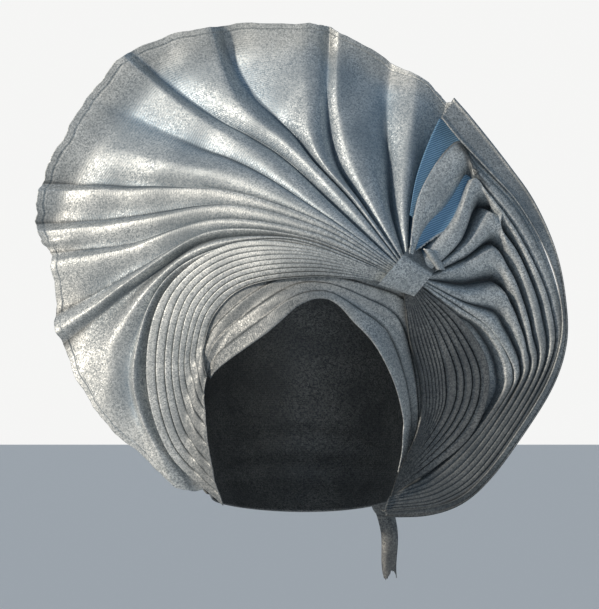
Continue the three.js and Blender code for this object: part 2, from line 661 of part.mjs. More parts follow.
// Nape band: on the cap's outside from jaw to jaw round the back, in three soft folds.
function napeBand(grown) {
  const folds = 3;
  const across = steps(2 * folds);
  const angles = steps(16).map((share) => mix(-0.08, 1.08, share) * Math.PI);
  const level = crownHeight + 0.5 * napeBandHeight - capEnd + 2 * clothThickness;
  const at = (share, angle, offset) => {
    const height = level + (share - 0.5) * (napeBandHeight + 2 * grown);
    const ring = Math.sqrt(1 - (height / (napeReach + offset)) ** 2);
    return [
      Math.cos(angle) * ring * (headBreadth / 2 + offset),
      Math.sin(angle) * ring * (headDepth / 2 + offset),
      height - crownHeight,
    ];
  };
  const inner = clothThickness + 2 * layerGap - grown;
  const fold = (share) => clothThickness * (1 + 0.6 * Math.abs(Math.sin(folds * Math.PI * share))) + 2 * grown;
  const outside = across.map((share) => angles.map((angle) => at(share, angle, inner + fold(share))));
  const inside = across.map((share) => angles.map((angle) => at(share, angle, inner)));
  return wallBody(outside, inside);
}

// Where the nape's knot sits: on the band, towards the bow's side.
const napeAngle = 0.23 * Math.PI;
const napeKnotPlace = (() => {
  const height = crownHeight - capEnd + 0.3 * napeBandHeight;
  const offset = 3 * clothThickness + 0.3 * napeKnotSize;
  const ring = Math.sqrt(1 - (height / (napeReach + offset)) ** 2);
  return [
    Math.cos(napeAngle) * ring * (headBreadth / 2 + offset),
    Math.sin(napeAngle) * ring * (headDepth / 2 + offset),
    height - crownHeight,
  ];
})();

function napeKnot(grown) {
  const ball = new THREE.SphereGeometry(1, 12, 8);
  const place = ball.getAttribute('position');
  for (let k = 0; k < place.count; k += 1) {
    const around = Math.atan2(place.getZ(k), place.getX(k));
    const puff = 1 + 0.12 * Math.sin(3 * around) * (1 - place.getY(k) ** 2);
    const half = napeKnotSize / 2;
    place.setXYZ(k, place.getX(k) * puff * (half + grown), place.getZ(k) * puff * (0.7 * half + grown),
      place.getY(k) * (0.9 * half + grown));
  }
  ball.rotateZ(napeAngle - Math.PI / 2);
  ball.translate(...napeKnotPlace);
  ball.deleteAttribute('normal');
  ball.deleteAttribute('uv');
  const merged = mergeVertices(ball, 1e-3);
  return bodyGeometry(Array.from(merged.getAttribute('position').array), Array.from(merged.index.array));
}

// Tail: a narrow strip that hangs from the knot, waving a little and folded along its middle.
function napeTail() {
  const top = [napeKnotPlace[0], napeKnotPlace[1], napeKnotPlace[2] - 0.3 * napeKnotSize];
  const crease = clothThickness;
  const surface = (a, v) => [
    top[0] + (a - 0.5) * tailWidth * (1 - 0.25 * v) + 5 * v + 1.5 * Math.sin(5 * v),
    top[1] - crease * Math.sin(Math.PI * a) - 2 * Math.sin(4 * v),
    top[2] - v * (tailLength + 3 * Math.sin(7 * a)),
  ];
  return clothWall(surface, steps(4), steps(8), () => 0);
}

const materials = {
  cloth: new THREE.MeshStandardMaterial({ color: '#a9b3b8', roughness: 0.42, metalness: 0.75 }),
  shaded: new THREE.MeshStandardMaterial({ color: '#8d9498', roughness: 0.5, metalness: 0.7 }),
};

// Each piece keeps clear of those that it lies under.
const knot = knotBody(0);
const knotRoom = knotBody(layerGap);
const capBody = headCap();
const cap = capBody(0);
const capRoom = capBody(layerGap);
const leftPleatWall = clearOf(foldedWall(leftPleatSheet()), knotRoom, capRoom);
const leftRoom = foldedWall(leftPleatSheet(), layerGap);
const rightPleatWall = clearOf(foldedWall(rightPleatSheet()), knotRoom, capRoom);
const rightRoom = foldedWall(rightPleatSheet(), layerGap);
const browWall = clearOf(foldedWall(browBandSheet()), capRoom, knotRoom);
const fanWall = clearOf(foldedWall(fanSheet()), knotRoom, capRoom, leftRoom);
const bowWall = clearOf(foldedWall(bowSheet()), knotRoom, capRoom, rightRoom);
const borderWall = foldedWall(borderSheet());
const napeKnotBody = clearOf(napeKnot(0), napeBand(layerGap), capRoom);
const napeTailWall = clearOf(napeTail(), napeKnot(layerGap), napeBand(layerGap), capRoom);

const pieces = {
  head_cap: [cap, materials.shaded],
  forehead_band: [browWall, materials.cloth],
  main_fan: [fanWall, materials.cloth],
  left_pleats: [leftPleatWall, materials.cloth],
  bow_folds: [bowWall, materials.cloth],
  right_pleats: [rightPleatWall, materials.shaded],
  top_band: [borderWall, materials.cloth],
  knot_band: [knot, materials.cloth],
  knot_tuck: [clearOf(tuckWall(), foldedWall(bowSheet(), layerGap)), materials.shaded],
  nape_band: [napeBand(0), materials.shaded],
  nape_knot: [napeKnotBody, materials.shaded],
  nape_tail: [napeTailWall, materials.shaded],
};

const headTie = new THREE.Group();
for (const [name, [geometry, material]] of Object.entries(pieces)) {
  const mesh = new THREE.Mesh(geometry, material);
  mesh.name = name;
  headTie.add(mesh);
}

export default headTie;
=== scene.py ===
# %% [markdown]
# # A tied head tie of pleated metallic cloth
# One length of stiff, silver-grey cloth with metal thread is pleated, wound and tied. It shows a tall open
# fan, a knot above the brow and a gathered bow beside it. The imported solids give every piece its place.
# They could be dressed by simulating cloth, but pressed pleats that a knot holds don't fall by themselves.
# So each piece becomes a fine sheet, worked out with numpy, with the cloth's own finish.

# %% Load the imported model
import math

import bmesh
import bpy
import numpy as np
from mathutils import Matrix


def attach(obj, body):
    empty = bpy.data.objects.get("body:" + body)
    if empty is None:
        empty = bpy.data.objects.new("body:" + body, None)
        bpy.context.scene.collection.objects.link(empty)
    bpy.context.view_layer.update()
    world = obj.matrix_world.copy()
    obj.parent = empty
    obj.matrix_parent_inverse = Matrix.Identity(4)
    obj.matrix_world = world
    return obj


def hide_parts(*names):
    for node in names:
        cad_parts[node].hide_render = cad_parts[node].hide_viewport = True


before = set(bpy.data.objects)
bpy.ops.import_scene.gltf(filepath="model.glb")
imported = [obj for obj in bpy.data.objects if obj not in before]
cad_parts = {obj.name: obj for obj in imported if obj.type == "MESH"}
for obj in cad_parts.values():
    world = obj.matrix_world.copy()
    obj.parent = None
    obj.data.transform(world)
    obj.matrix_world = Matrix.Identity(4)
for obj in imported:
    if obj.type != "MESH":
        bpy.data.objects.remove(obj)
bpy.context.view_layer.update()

# %% [markdown]
# ## Named sizes
# All lengths are metres. The tie is an adult's size: the inside of its cap is 156 mm across. Folds could
# be placed by eye. Here they are placed on a chart laid over the front view, in squares counted to the
# right and downwards, as on graph paper, because such places can be read and changed.

# %% Sizes
HEAD_BREADTH, HEAD_DEPTH = 0.156, 0.196
CROWN, NAPE_REACH, CAP_END = 0.100, 0.115, 0.180
FAN_WIDTH, FAN_HEIGHT = 0.365, 0.342
WALL, AIR = 0.002, 0.0005
DISH, BROW_BULGE = 0.062, 0.028
PLEAT_STAND, FOLD_STAND, BOW_STAND, BOW_LIFT = 0.005, 0.013, 0.016, 0.012
print("cap", HEAD_BREADTH, "by", HEAD_DEPTH, "and fan", FAN_WIDTH, "by", FAN_HEIGHT)

# %% The chart
SQUARE = 0.000686
CHART_COLUMN, CHART_ROW = 305, 250
KNOT_MIDDLE = np.array([408.0, 276.0])


def place(squares):
    """Chart squares [..., column and row] to metres [..., x and z]."""
    squares = np.asarray(squares, float)
    return np.stack([squares[..., 0] - CHART_COLUMN, CHART_ROW - squares[..., 1]], -1) * SQUARE


def mix(a, b, share):
    """a at share 0, b at share 1, and straight between them."""
    return a + (b - a) * share


def smooth(low, high, value):
    """0 below low, 1 above high, and an S-shaped rise between them."""
    share = np.clip((value - low) / (high - low), 0, 1)
    return share * share * (3 - 2 * share)


def curve(points, share, column=None):
    """A smooth line through the points along the first axis (Catmull-Rom), at each share of its way.

    With a column, share counts the points instead, and each column of the points has its own shares."""
    points = np.asarray(points, float)
    last = len(points) - 1
    position = np.asarray(share, float) * (last if column is None else 1)
    index = np.clip(np.floor(position).astype(int), 0, last - 1)
    padded = np.concatenate([2 * points[:1] - points[1:2], points, 2 * points[-1:] - points[-2:-1]])
    if column is None:
        t = (position - index).reshape(-1, *[1] * (points.ndim - 1))
        p0, p1, p2, p3 = (padded[index + k] for k in range(4))
    else:
        t = (position - index)[..., None]
        p0, p1, p2, p3 = (padded[index + k, column] for k in range(4))
    return p1 + 0.5 * t * (p2 - p0 + t * (2 * p0 - 5 * p1 + 4 * p2 - p3 + t * (3 * (p1 - p2) + p3 - p0)))


print("middle of the knot", place(KNOT_MIDDLE).round(4))

# %% [markdown]
# ## How far the cloth stands forward
# Round the face opening the layers lie on the cap, and further out the fan is a shallow dish that leans
# back at its rim. Each piece could be sculpted to that shape. One formula is better, because it gives all
# layers the same depth at the same place, so none cuts through another. The cap is an egg, the dish is a
# bowl, and the cloth follows whichever stands further forward, softly blended.

# %% Depth of the tied cloth
EDGE_STACK = 2 * WALL + AIR
FULL_STACK = EDGE_STACK + AIR + WALL + PLEAT_STAND
UNDER_PLEATS = PLEAT_STAND + WALL + AIR
FACE_DROP, FACE_SIDE, FACE_UP, FACE_DOWN = 1.15 * CROWN, 0.43 * HEAD_BREADTH, 0.81 * CROWN, 1.05 * CROWN
DISH_DROP, DISH_SIDE, DISH_UP = 0.6 * CROWN, 0.52 * FAN_WIDTH, 0.585 * FAN_HEIGHT
BROW_DROP, BROW_SIDE, BROW_UP = 0.2 * CROWN, 0.48 * HEAD_BREADTH, 0.55 * CROWN
BLEND = 0.003       # how softly the dish and the cap meet


def head_front(x, z, grown):
    """Front of the egg at a place of the front view: depth times the root of 1 minus the squared shares."""
    height = z + CROWN
    down = np.where(height < 0, NAPE_REACH, CROWN)
    inside = 1 - (x / (HEAD_BREADTH / 2 + grown)) ** 2 - (height / (down + grown)) ** 2
    return (HEAD_DEPTH / 2 + grown) * np.sqrt(np.maximum(0, inside))


def face_reach(x, z):
    """1 on the edge of the face opening, more beyond it: distance from its middle in its half sizes."""
    height = z + FACE_DROP
    return np.hypot(x / FACE_SIDE, height / np.where(height > 0, FACE_UP, FACE_DOWN))


def cloth_depth(x, z, under=0.0):
    """How far the cloth's front stands forward of the origin, under being how deep its layer lies.

    A bowl, higher over the brow, and an egg: half of their sum and of their softened difference."""
    out = (x / DISH_SIDE) ** 2 + ((z + DISH_DROP) / DISH_UP) ** 2
    brow = np.exp(-((x / BROW_SIDE) ** 2) - ((z + BROW_DROP) / BROW_UP) ** 2)
    stack = mix(EDGE_STACK, FULL_STACK, smooth(1, 1.2, face_reach(x, z)))
    layer = np.maximum(EDGE_STACK, stack - under)
    head = head_front(x, z, layer)
    dish = DISH * (1 - out) + BROW_BULGE * brow - (stack - layer)
    return 0.5 * (dish + head + np.hypot(dish - head, BLEND))


print("depth of the cloth at the knot", cloth_depth(*place(KNOT_MIDDLE)).round(4))

# %% [markdown]
# ## Sheets from fold lines
# A pleated sheet is known by its fold lines. It could be lofted between curves by hand, or folded by
# bones. Here each line is a smooth curve from the knot to the far end, and a second curve across them
# fills in the sheet, because that gives every pleat its own width all the way. A profile then lifts or
# lowers the sheet between one line and the next. So it is one function of two numbers: a counts the folds,
# v runs along them.

# %% The smooth sheet through its fold lines
DRAWN_IN = 0.4      # how far a fold's start is drawn in towards the middle of the knot


def routes_of(rows):
    """Fold lines in metres from rows of chart squares, with their starts drawn in under the knot."""
    squares = np.array(rows, float)
    squares[:, 0] = mix(squares[:, 0], KNOT_MIDDLE, DRAWN_IN)
    return place(squares)


def fold_surface(routes, depth_at):
    """A function of a [folds, v or 1] and v that gives points [a, v, xyz] on the smooth sheet."""
    def surface(a, v):
        lines = curve(routes.transpose(1, 0, 2), v).transpose(1, 0, 2)
        spots = curve(lines, a, np.arange(len(v)))
        x, z = spots[..., 0], spots[..., 1]
        return np.stack([x, -depth_at(x, z, a, v[None, :]), z], -1)
    return surface


def line_gaps(routes, v):
    """Distance from each fold line to the next, [fold, v]."""
    lines = curve(routes.transpose(1, 0, 2), v)
    return np.linalg.norm(np.diff(lines, axis=1), axis=-1).T


def facing(surface, a, v, step=1e-3):
    """Unit directions across the sheet towards the front: the cross product of its two slopes."""
    along = surface(a, np.minimum(1, v + step)) - surface(a, np.maximum(0, v - step))
    across = surface(a + step, v) - surface(a - step, v)
    normal = np.cross(along, across)
    normal /= np.maximum(np.linalg.norm(normal, axis=-1, keepdims=True), 1e-12)
    return np.where(normal[..., 1:2] > 0, -normal, normal)


print("folds are drawn in by a share of", DRAWN_IN)

# %% From one fold to the next
def fold_grid(grid, valleys):
    """Spreads an even grid so that half way between two folds lies in the valley, wherever that is.

    Gives a [grid, v], how far down the way to the valley each place is, 0 to 1 [grid, 1], and the number of
    the fold before it [grid]."""
    index = np.clip(np.floor(grid).astype(int), 0, len(valleys) - 1)
    part = (grid - index)[:, None]
    valley = valleys[index]
    share = np.where(part < 0.5, 2 * part * valley, valley + (2 * part - 1) * (1 - valley))
    return index[:, None] + share, 1 - np.abs(2 * part - 1), index


def creased(way, roundness):
    """way to the power of roundness: 0 on the fold, 1 in the sharp valley. At 1 the crest is sharp too."""
    return way ** roundness


print("way down at a quarter and at half", fold_grid(np.array([0.25, 0.5]), np.full((1, 1), 0.7))[1].ravel())

# %% Meshes from grids of points
def grid_mesh(name, points, uv=None):
    """A mesh of quads over a grid of points [i, j, xyz], turned so that most faces look to the front."""
    rows, columns = points.shape[:2]
    index = np.arange(rows * columns).reshape(rows, columns)
    quads = np.stack([index[:-1, :-1], index[1:, :-1], index[1:, 1:], index[:-1, 1:]], -1).reshape(-1, 4)
    flat = points.reshape(-1, 3)
    across = flat[quads[:, 2]] - flat[quads[:, 0]]
    along = flat[quads[:, 3]] - flat[quads[:, 1]]
    if np.cross(across, along)[:, 1].sum() > 0:
        quads = quads[:, ::-1]
    mesh = bpy.data.meshes.new(name)
    mesh.from_pydata(flat.tolist(), [], quads.tolist())
    if uv is not None:
        layer = mesh.uv_layers.new(name="threads")
        layer.data.foreach_set("uv", uv.reshape(-1, 2)[quads.ravel()].astype(np.float32).ravel())
    mesh.polygons.foreach_set("use_smooth", np.ones(len(quads), bool))
    mesh.update()
    piece = bpy.data.objects.new(name, mesh)
    bpy.context.scene.collection.objects.link(piece)
    return piece


def thread_uv(a, v, across, length):
    """Thread coordinates in metres: across the folds and along them."""
    return np.stack(np.broadcast_arrays(a.reshape(len(a), -1) * across, v[None, :] * length), -1)


def mark(piece, **shares):
    """Tells the finish, 0 to 1 at each corner, how much blue shows, as the reverse and as painted sky
    reflection, and how much painted shade darkens it.
    """
    for name, share in shares.items():
        marks = piece.data.attributes.new(name, "FLOAT", "POINT")
        marks.data.foreach_set("value", np.clip(share, 0, 1).astype(np.float32).ravel())


print("thread coordinates are metres:", thread_uv(np.ones(1), np.ones(1), across=0.035, length=0.24).ravel())

# %% Walls and seams
SEAM = 1e-5         # corners closer than this are one corner


def give_wall(piece, thickness):
    """Gives a sheet its thickness, behind the surface that shows."""
    wall = piece.modifiers.new("cloth", "SOLIDIFY")
    wall.thickness = thickness
    wall.offset = -1
    wall.use_rim = True


def weld(piece):
    """Joins corners that lie on each other, where a grid closes on itself."""
    body = bmesh.new()
    body.from_mesh(piece.data)
    bmesh.ops.remove_doubles(body, verts=body.verts, dist=SEAM)
    body.to_mesh(piece.data)
    body.free()


print("a seam closes gaps up to", SEAM)

# %% [markdown]
# ## The cloth
# The real cloth is a plain woven polyester with flat metallised threads. Each thread is a tiny mirror at
# its own angle, so the cloth glitters: grains of about a millimetre are brighter or darker as they face
# the light. A fine rib runs along the warp. A picture of the weave could be laid on it, but formulas stay
# sharp at any size: cells tilt the surface a little and change its brightness, and the rib is a wave on
# the thread coordinates. Real threads are 0.3 mm apart, too fine to show here, so the rib is drawn 1.5 mm
# wide. Two marks on each sheet, from 0 to 1, mix in blue and painted shade. The blue is the ribbed reverse
# of the cloth where it shows, and in the valleys a painted reflection of the sky. The painted shade darkens
# the hollows between folds and other places where shade falls.

# %% Helpers for materials
def linear(hex_colour):
    """sRGB hex to linear red, green, blue and full cover."""
    channels = [int(hex_colour[k:k + 2], 16) / 255 for k in (1, 3, 5)]
    return [c / 12.92 if c <= 0.04045 else ((c + 0.055) / 1.055) ** 2.4 for c in channels] + [1.0]


def add(tree, kind, inputs=None, **settings):
    """Adds a node, with its settings and what goes into its sockets: values or other nodes' outputs."""
    node = tree.nodes.new(kind)
    for key, value in settings.items():
        setattr(node, key, value)
    for socket, value in (inputs or {}).items():
        if isinstance(value, bpy.types.NodeSocket):
            tree.links.new(value, node.inputs[socket])
        else:
            node.inputs[socket].default_value = value
    return node


print("linear middle grey", round(linear("#808080")[0], 3))

# %% Woven cloth with metal thread
GRAIN = 0.0008      # metres between glittering grains
RIB = 0.0015        # metres between warp ribs as drawn
RIB_RELIEF = 0.0003   # how high a rib stands
PATCHES = 35.0      # patches of more and of less glitter in a metre
WAVE_PERIOD = 2 * math.pi / 20   # a wave texture's period at scale 1
# The blues of the cloth's ribbed reverse; in the valleys the same blue is a painted reflection of the sky.
REVERSE_AND_SKY_BLUES = "#4a7698", "#97bfda"
# Painted shade: this dark colour is mixed into the cloth where shade falls, between folds, under layers and
# on faces turned from the lamp.
PAINTED_SHADE_DARK = "#23282b"  # the dark between two folds


def lurex(name, colour, shade, metal, rough, glitter):
    """Woven cloth with metal thread: its light and dark grain colours, how metallic, rough and glittering."""
    material = bpy.data.materials.new(name)
    material.use_nodes = True
    tree = material.node_tree
    tree.nodes.clear()
    spot = add(tree, "ShaderNodeTexCoord")
    grains = add(tree, "ShaderNodeTexVoronoi", {"Vector": spot.outputs["Object"], "Scale": 1 / GRAIN})
    parts = add(tree, "ShaderNodeSeparateColor", {"Color": grains.outputs["Color"]})
    patches = add(tree, "ShaderNodeTexNoise",
                  {"Vector": spot.outputs["Object"], "Scale": PATCHES, "Detail": 2.0})
    bright = add(tree, "ShaderNodeMath", {0: parts.outputs["Red"], 1: patches.outputs["Fac"]},
                 operation="MULTIPLY")
    tone = add(tree, "ShaderNodeMapRange", {"Value": bright.outputs[0], "From Min": 0.05, "From Max": 0.55})
    ribs = add(tree, "ShaderNodeTexWave", {"Vector": spot.outputs["UV"], "Scale": WAVE_PERIOD / RIB},
               bands_direction="Y")
    reverse = add(tree, "ShaderNodeAttribute", attribute_name="reverse")
    dull = add(tree, "ShaderNodeAttribute", attribute_name="dull")

    def blend(share, low, high):
        """The colour low where share is 0, and high where it is 1."""
        return add(tree, "ShaderNodeMix", {"Factor": share, "A": low, "B": high},
                   data_type="RGBA").outputs["Result"]

    front = blend(tone.outputs[0], linear(shade), linear(colour))
    # One mark mixes in blue: the reverse, and painted sky reflection in the valleys. The other mixes in
    # painted shade.
    back = blend(ribs.outputs["Fac"], *(linear(blue) for blue in REVERSE_AND_SKY_BLUES))
    with_reverse_and_sky = blend(reverse.outputs["Fac"], front, back)
    base_with_painted_shade = blend(dull.outputs["Fac"], with_reverse_and_sky, linear(PAINTED_SHADE_DARK))
    relief = add(tree, "ShaderNodeBump",
                 {"Height": ribs.outputs["Fac"], "Strength": 0.12, "Distance": RIB_RELIEF})
    centred = add(tree, "ShaderNodeVectorMath", {0: grains.outputs["Color"], 1: (0.5, 0.5, 0.5)},
                  operation="SUBTRACT")
    tilt = add(tree, "ShaderNodeVectorMath", {0: centred.outputs[0], "Scale": glitter}, operation="SCALE")
    tilted = add(tree, "ShaderNodeVectorMath", {0: relief.outputs[0], 1: tilt.outputs[0]}, operation="ADD")
    normal = add(tree, "ShaderNodeVectorMath", {0: tilted.outputs[0]}, operation="NORMALIZE")
    roughness = add(tree, "ShaderNodeMapRange", {"Value": parts.outputs["Green"], "To Min": rough - 0.08,
                                                 "To Max": rough + 0.12})
    surface = add(tree, "ShaderNodeBsdfPrincipled", {
        "Base Color": base_with_painted_shade, "Metallic": metal, "Roughness": roughness.outputs[0],
        "Normal": normal.outputs[0]})
    add(tree, "ShaderNodeOutputMaterial", {"Surface": surface.outputs[0]})
    return material


# Open cloth that takes the light, and a darker copy of the same cloth, painted shade, for layers that lie
# close and in each other's shade.
CLOTHS = {"lurex_cloth": lurex("silver_lurex", "#dfe1de", "#8f9597", 0.45, 0.50, 0.18),
          "lurex_shade": lurex("shaded_lurex", "#8e8f8c", "#56595b", 0.55, 0.52, 0.18)}
print("cloth finishes", {slot: cloth.name for slot, cloth in CLOTHS.items()})

# %% Declaring the pieces
def declare(piece, node, slot):
    """Every piece has one cloth, stands for one solid and rides on the tie's one body."""
    piece.data.materials.append(CLOTHS[slot])
    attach(piece, "root")
    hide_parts(node)


def declare_sheet(piece, node, slot, wall, flat):
    """A sheet with its wall, whose cut is known."""
    give_wall(piece, wall)
    declare(piece, node, slot)
    area = sum(polygon.area for polygon in piece.data.polygons)
    print(piece.name, len(piece.data.polygons), "faces", round(area, 4), "square metres, cut",
          round(flat[0] * flat[1], 4))


def declare_lump(piece, node, slot):
    """A lump of wound cloth, filled through."""
    declare(piece, node, slot)
    print(piece.name, len(piece.data.polygons), "faces")


print("each piece is cut from one of", list(CLOTHS))

# %% [markdown]
# ## The fan
# The cloth's free width spreads from the knot over the crown to the left side. Beside the knot it lies in
# narrow sharp folds. They widen and soften towards the rim, which is turned over in a narrow hem. The fan
# could be a disc with a wave modifier, but its folds are all different, so each has its own row in the
# table.

# %% Fold lines of the fan
# Each row: root, low, middle, high, rim; then where the valley lies on the way to the next fold, beside
# the knot and at the rim; then how deep it is there, as a share of the distance between the two folds.
FAN_FOLDS = [
    ([[412, 250], [424, 215], [438, 180], [450, 148], [453, 102]], 0.58, 0.12, 0.9, 0.16),
    ([[407, 251], [405, 208], [409, 160], [414, 115], [419, 74]], 0.3, 0.36, 0.9, 0.14),
    ([[403, 254], [377, 208], [352, 153], [338, 100], [339, 30]], 0.4, 0.2, 0.8, 0.24),
    ([[399, 257], [358, 203], [318, 152], [307, 90], [306, 22]], 0.25, 0.88, 0.8, 0.13),
    ([[396, 260], [345, 200], [290, 145], [236, 98], [209, 25]], 0.4, 0.9, 0.8, 0.12),
    ([[394, 262], [330, 212], [262, 157], [190, 110], [122, 55]], 0.5, 0.5, 0.5, 0.05),
    ([[392, 264], [322, 216], [243, 176], [155, 160], [62, 135]], 0.8, 0.8, 0.8, 0.1),
    ([[391, 267], [320, 222], [225, 191], [125, 189], [37, 192]], 0.75, 0.75, 0.8, 0.14),
    ([[389, 269], [318, 228], [225, 206], [130, 222], [36, 232]], 0.75, 0.75, 0.8, 0.16),
    ([[387, 271], [315, 234], [215, 220], [125, 249], [50, 262]], 0.75, 0.75, 0.8, 0.12),
    ([[385, 273], [303, 237], [208, 233], [126, 283], [55, 333]], 0.3, 0.15, 0.8, 0.07),
    ([[384, 275], [288, 238], [185, 256], [116, 336], [97, 413]], 0.6, 0.6, 0.5, 0.04),
    ([[384, 276], [274, 240], [166, 279], [134, 388], [176, 487]], 0.7, 0.7, 0.5, 0.1),
    ([[383, 278], [271, 250], [171, 297], [155, 408], [211, 493]], 0.5, 0.5, 0.1, 0.1),
]
FOLD_STEPS = 24      # grid steps from one fold to the next
TOP_FOLDS = 6        # the folds before this one, beside the bow, keep their pressed shape
POCKET = 10          # the fold before the deep hollow at the lower left
HEM = 0.0004         # how far the turned-over hem stands up
# Where along the fold the hem stands up, and where and how wide its seam is drawn in.
HEM_RISE, HEM_SEAM, SEAM_WIDTH = (0.980, 0.982), 0.978, 0.0025
RIM_WAVER = 0.0026   # how unevenly the rim is cut, as a share of the fold's length
DENT = 0.0011        # how deep the stiff cloth is dented between its folds


def fan_marks(grid, way, v):
    """How much blue shows and how much painted shade there is [grid, v]: powers of the way down to the
    valley.
    """
    fold = grid[:, None]
    top = 1 - smooth(TOP_FOLDS - 0.5, TOP_FOLDS + 1, fold)
    # Blue: the reverse beside the bow, painted sky reflection in the valleys and a faint painted blue over
    # the top folds.
    reverse = 0.3 * way ** 3 + 0.5 * smooth(0.3, 0.6, way) * (fold < 0.6) + 0.14 * top
    under = (fold % 1 < 0.5) & (fold > TOP_FOLDS)
    # Painted shade in the valleys, under each upper fold, in the pocket at the lower left and faintly over
    # the top folds.
    dull = np.maximum(0.8 * way ** 7, 0.45 * way ** 2 * under)
    dull = dull * (1 - smooth(0.55, 0.95, v) * ((fold < TOP_FOLDS) | (fold > POCKET + 1)))
    pocket = ((fold > POCKET) & (fold < POCKET + 1)) * smooth(0.35, 0.5, v) * (1 - smooth(0.85, 0.98, v))
    dull = np.maximum(dull, 0.7 * way ** 2 * pocket)
    return reverse * (1 - smooth(0.85, 0.95, v)), np.maximum(dull, 0.08 * top)


def waver_rim(points, a, v):
    """Moves the rim away from the knot or towards it, by the sum of three sines of a."""
    away = points[..., [0, 2]] - place(KNOT_MIDDLE)
    away *= RIM_WAVER * (np.sin(9.1 * a) + 0.7 * np.sin(17.3 * a + 1) + 0.35 * np.sin(41 * a))[..., None]
    points[..., [0, 2]] += away * smooth(0.85, 1, v)[:, None]


def fan_points(grid, v):
    """Smooth sheet plus folds, dents and hem: a valley sinks by its share of the distance between folds.

    Gives a, the points, how much blue shows and how much painted shade there is."""
    routes = routes_of([row[0] for row in FAN_FOLDS])
    near, far, low, rim = (np.array([row[k] for row in FAN_FOLDS[:-1]])[:, None] for k in (1, 2, 3, 4))
    surface = fold_surface(routes, lambda x, z, a, v: cloth_depth(x, z))
    a, way, index = fold_grid(grid, mix(near, far, smooth(0.4, 0.95, v)))
    depth = np.minimum(FOLD_STAND, line_gaps(routes, v)[index] * mix(low[index], rim[index], v ** 0.7))
    soft = smooth(0.45, 0.8, v) * smooth(TOP_FOLDS - 0.5, TOP_FOLDS + 0.5, grid)[:, None]
    sharp = creased(way, mix(3.0, 1.3, smooth(0.1, 0.8, v)))
    stand = -depth * mix(sharp, 0.5 - 0.5 * np.cos(math.pi * way), soft)
    stand = stand - UNDER_PLEATS * smooth(len(near) - 1.1, len(near) - 0.3, a)
    points = surface(a, v)
    waver_rim(points, a, v)
    x, z = points[..., 0], points[..., 2]
    dents = DENT * (np.sin(95 * x + 40 * z + 1.3) * np.sin(70 * z - 30 * x)
                    + 0.5 * np.sin(170 * x - 120 * z))
    hem = HEM * (smooth(*HEM_RISE, v) - 0.5 * np.exp(-(((v - HEM_SEAM) / SEAM_WIDTH) ** 2)))
    stand = stand + hem + dents * smooth(0.35, 0.8, v) * (1 - 0.7 * smooth(0.9, 1, v))
    return a, points + facing(surface, a, v) * stand[..., None], *fan_marks(grid, way, v)


fan_v = np.concatenate([np.linspace(0, 0.965, 118), np.linspace(0.97, 1, 20)])
fan_grid = np.linspace(0, len(FAN_FOLDS) - 1, (len(FAN_FOLDS) - 1) * FOLD_STEPS + 1)
fan_a, points, reverse, dull = fan_points(fan_grid, fan_v)
main_fan = grid_mesh("fan_cloth", points, thread_uv(fan_a, fan_v, across=0.035, length=0.24))
mark(main_fan, reverse=reverse, dull=dull)
declare_sheet(main_fan, "main_fan", "lurex_cloth", wall=0.0008, flat=(0.30, 0.225))

# %% [markdown]
# ## Knife pleats
# Beside the face opening the cloth lies in narrow pressed pleats. Each pleat's folded nose lies over the
# pleat outside it, with a dark slit under the nose. Bump could draw the slits, but it throws no shadow and
# stays behind when the mesh is used elsewhere. So the profile below goes down one strip, in under the next
# nose, and back up over it, and overhangs a little, as pressed cloth does.

# %% Profile of one knife pleat
# Share of the way to the next fold line, and height in pleat heights.
KNIFE = np.array([
    [0.00, 0.97], [0.06, 1.00], [0.16, 0.98], [0.36, 0.88], [0.58, 0.78], [0.74, 0.68], [0.80, 0.50],
    [0.84, 0.20], [0.90, 0.00], [0.94, 0.15], [0.93, 0.50], [0.94, 0.75], [0.965, 0.90],
])
PLEAT_SHARE = 0.8    # a pleat's height, as a share of the distance between its fold lines


def knife_rows(count):
    """The profile repeated for count pleats: where across, and how high."""
    across = (np.arange(count)[:, None] + KNIFE[None, :, 0]).ravel()
    height = np.tile(KNIFE[:, 1], count)
    return np.append(across, count), np.append(height, KNIFE[0, 1])


def over_band(x, z):
    """Room for the brow band where pleats come down to the edge of the face opening over it."""
    return (WALL + 2 * AIR) * (1 - smooth(1, 1.2, face_reach(x, z)))


def knife_points(routes, v, stand):
    """Smooth sheet plus pleats: each is a share of the distance between its lines high, up to stand.

    Gives a, the points and the painted shade: in the slits, and beside the face opening, where it dims
    highlights."""
    a, height = knife_rows(len(routes) - 1)
    surface = fold_surface(routes, lambda x, z, a, v: cloth_depth(x, z) + over_band(x, z))
    index = np.clip(np.floor(a).astype(int), 0, len(routes) - 2)
    a, height = a[:, None], height[:, None]
    points = surface(a, v)
    reach = face_reach(points[..., 0], points[..., 2])
    depth = np.minimum(stand, PLEAT_SHARE * line_gaps(routes, v)[index]) * (1 - 0.85 * smooth(0.95, 1, v))
    sheet = points + facing(surface, a, v) * ((height - 1) * depth)[..., None]
    return a, sheet, np.maximum(0.8 * smooth(0.35, 1, 1 - height), 0.5 * (1 - smooth(1.1, 1.4, reach)))


print("one pleat's profile has", len(KNIFE), "points, the deepest at", KNIFE[KNIFE[:, 1].argmin(), 0])

# %% [markdown]
# ## Pleats on the left
# Eight pleats leave the knot, cross the brow over the band, and run down the left side to the nape. An
# array of one pleat would keep its width, but these narrow towards both ends, so each fold line is drawn.

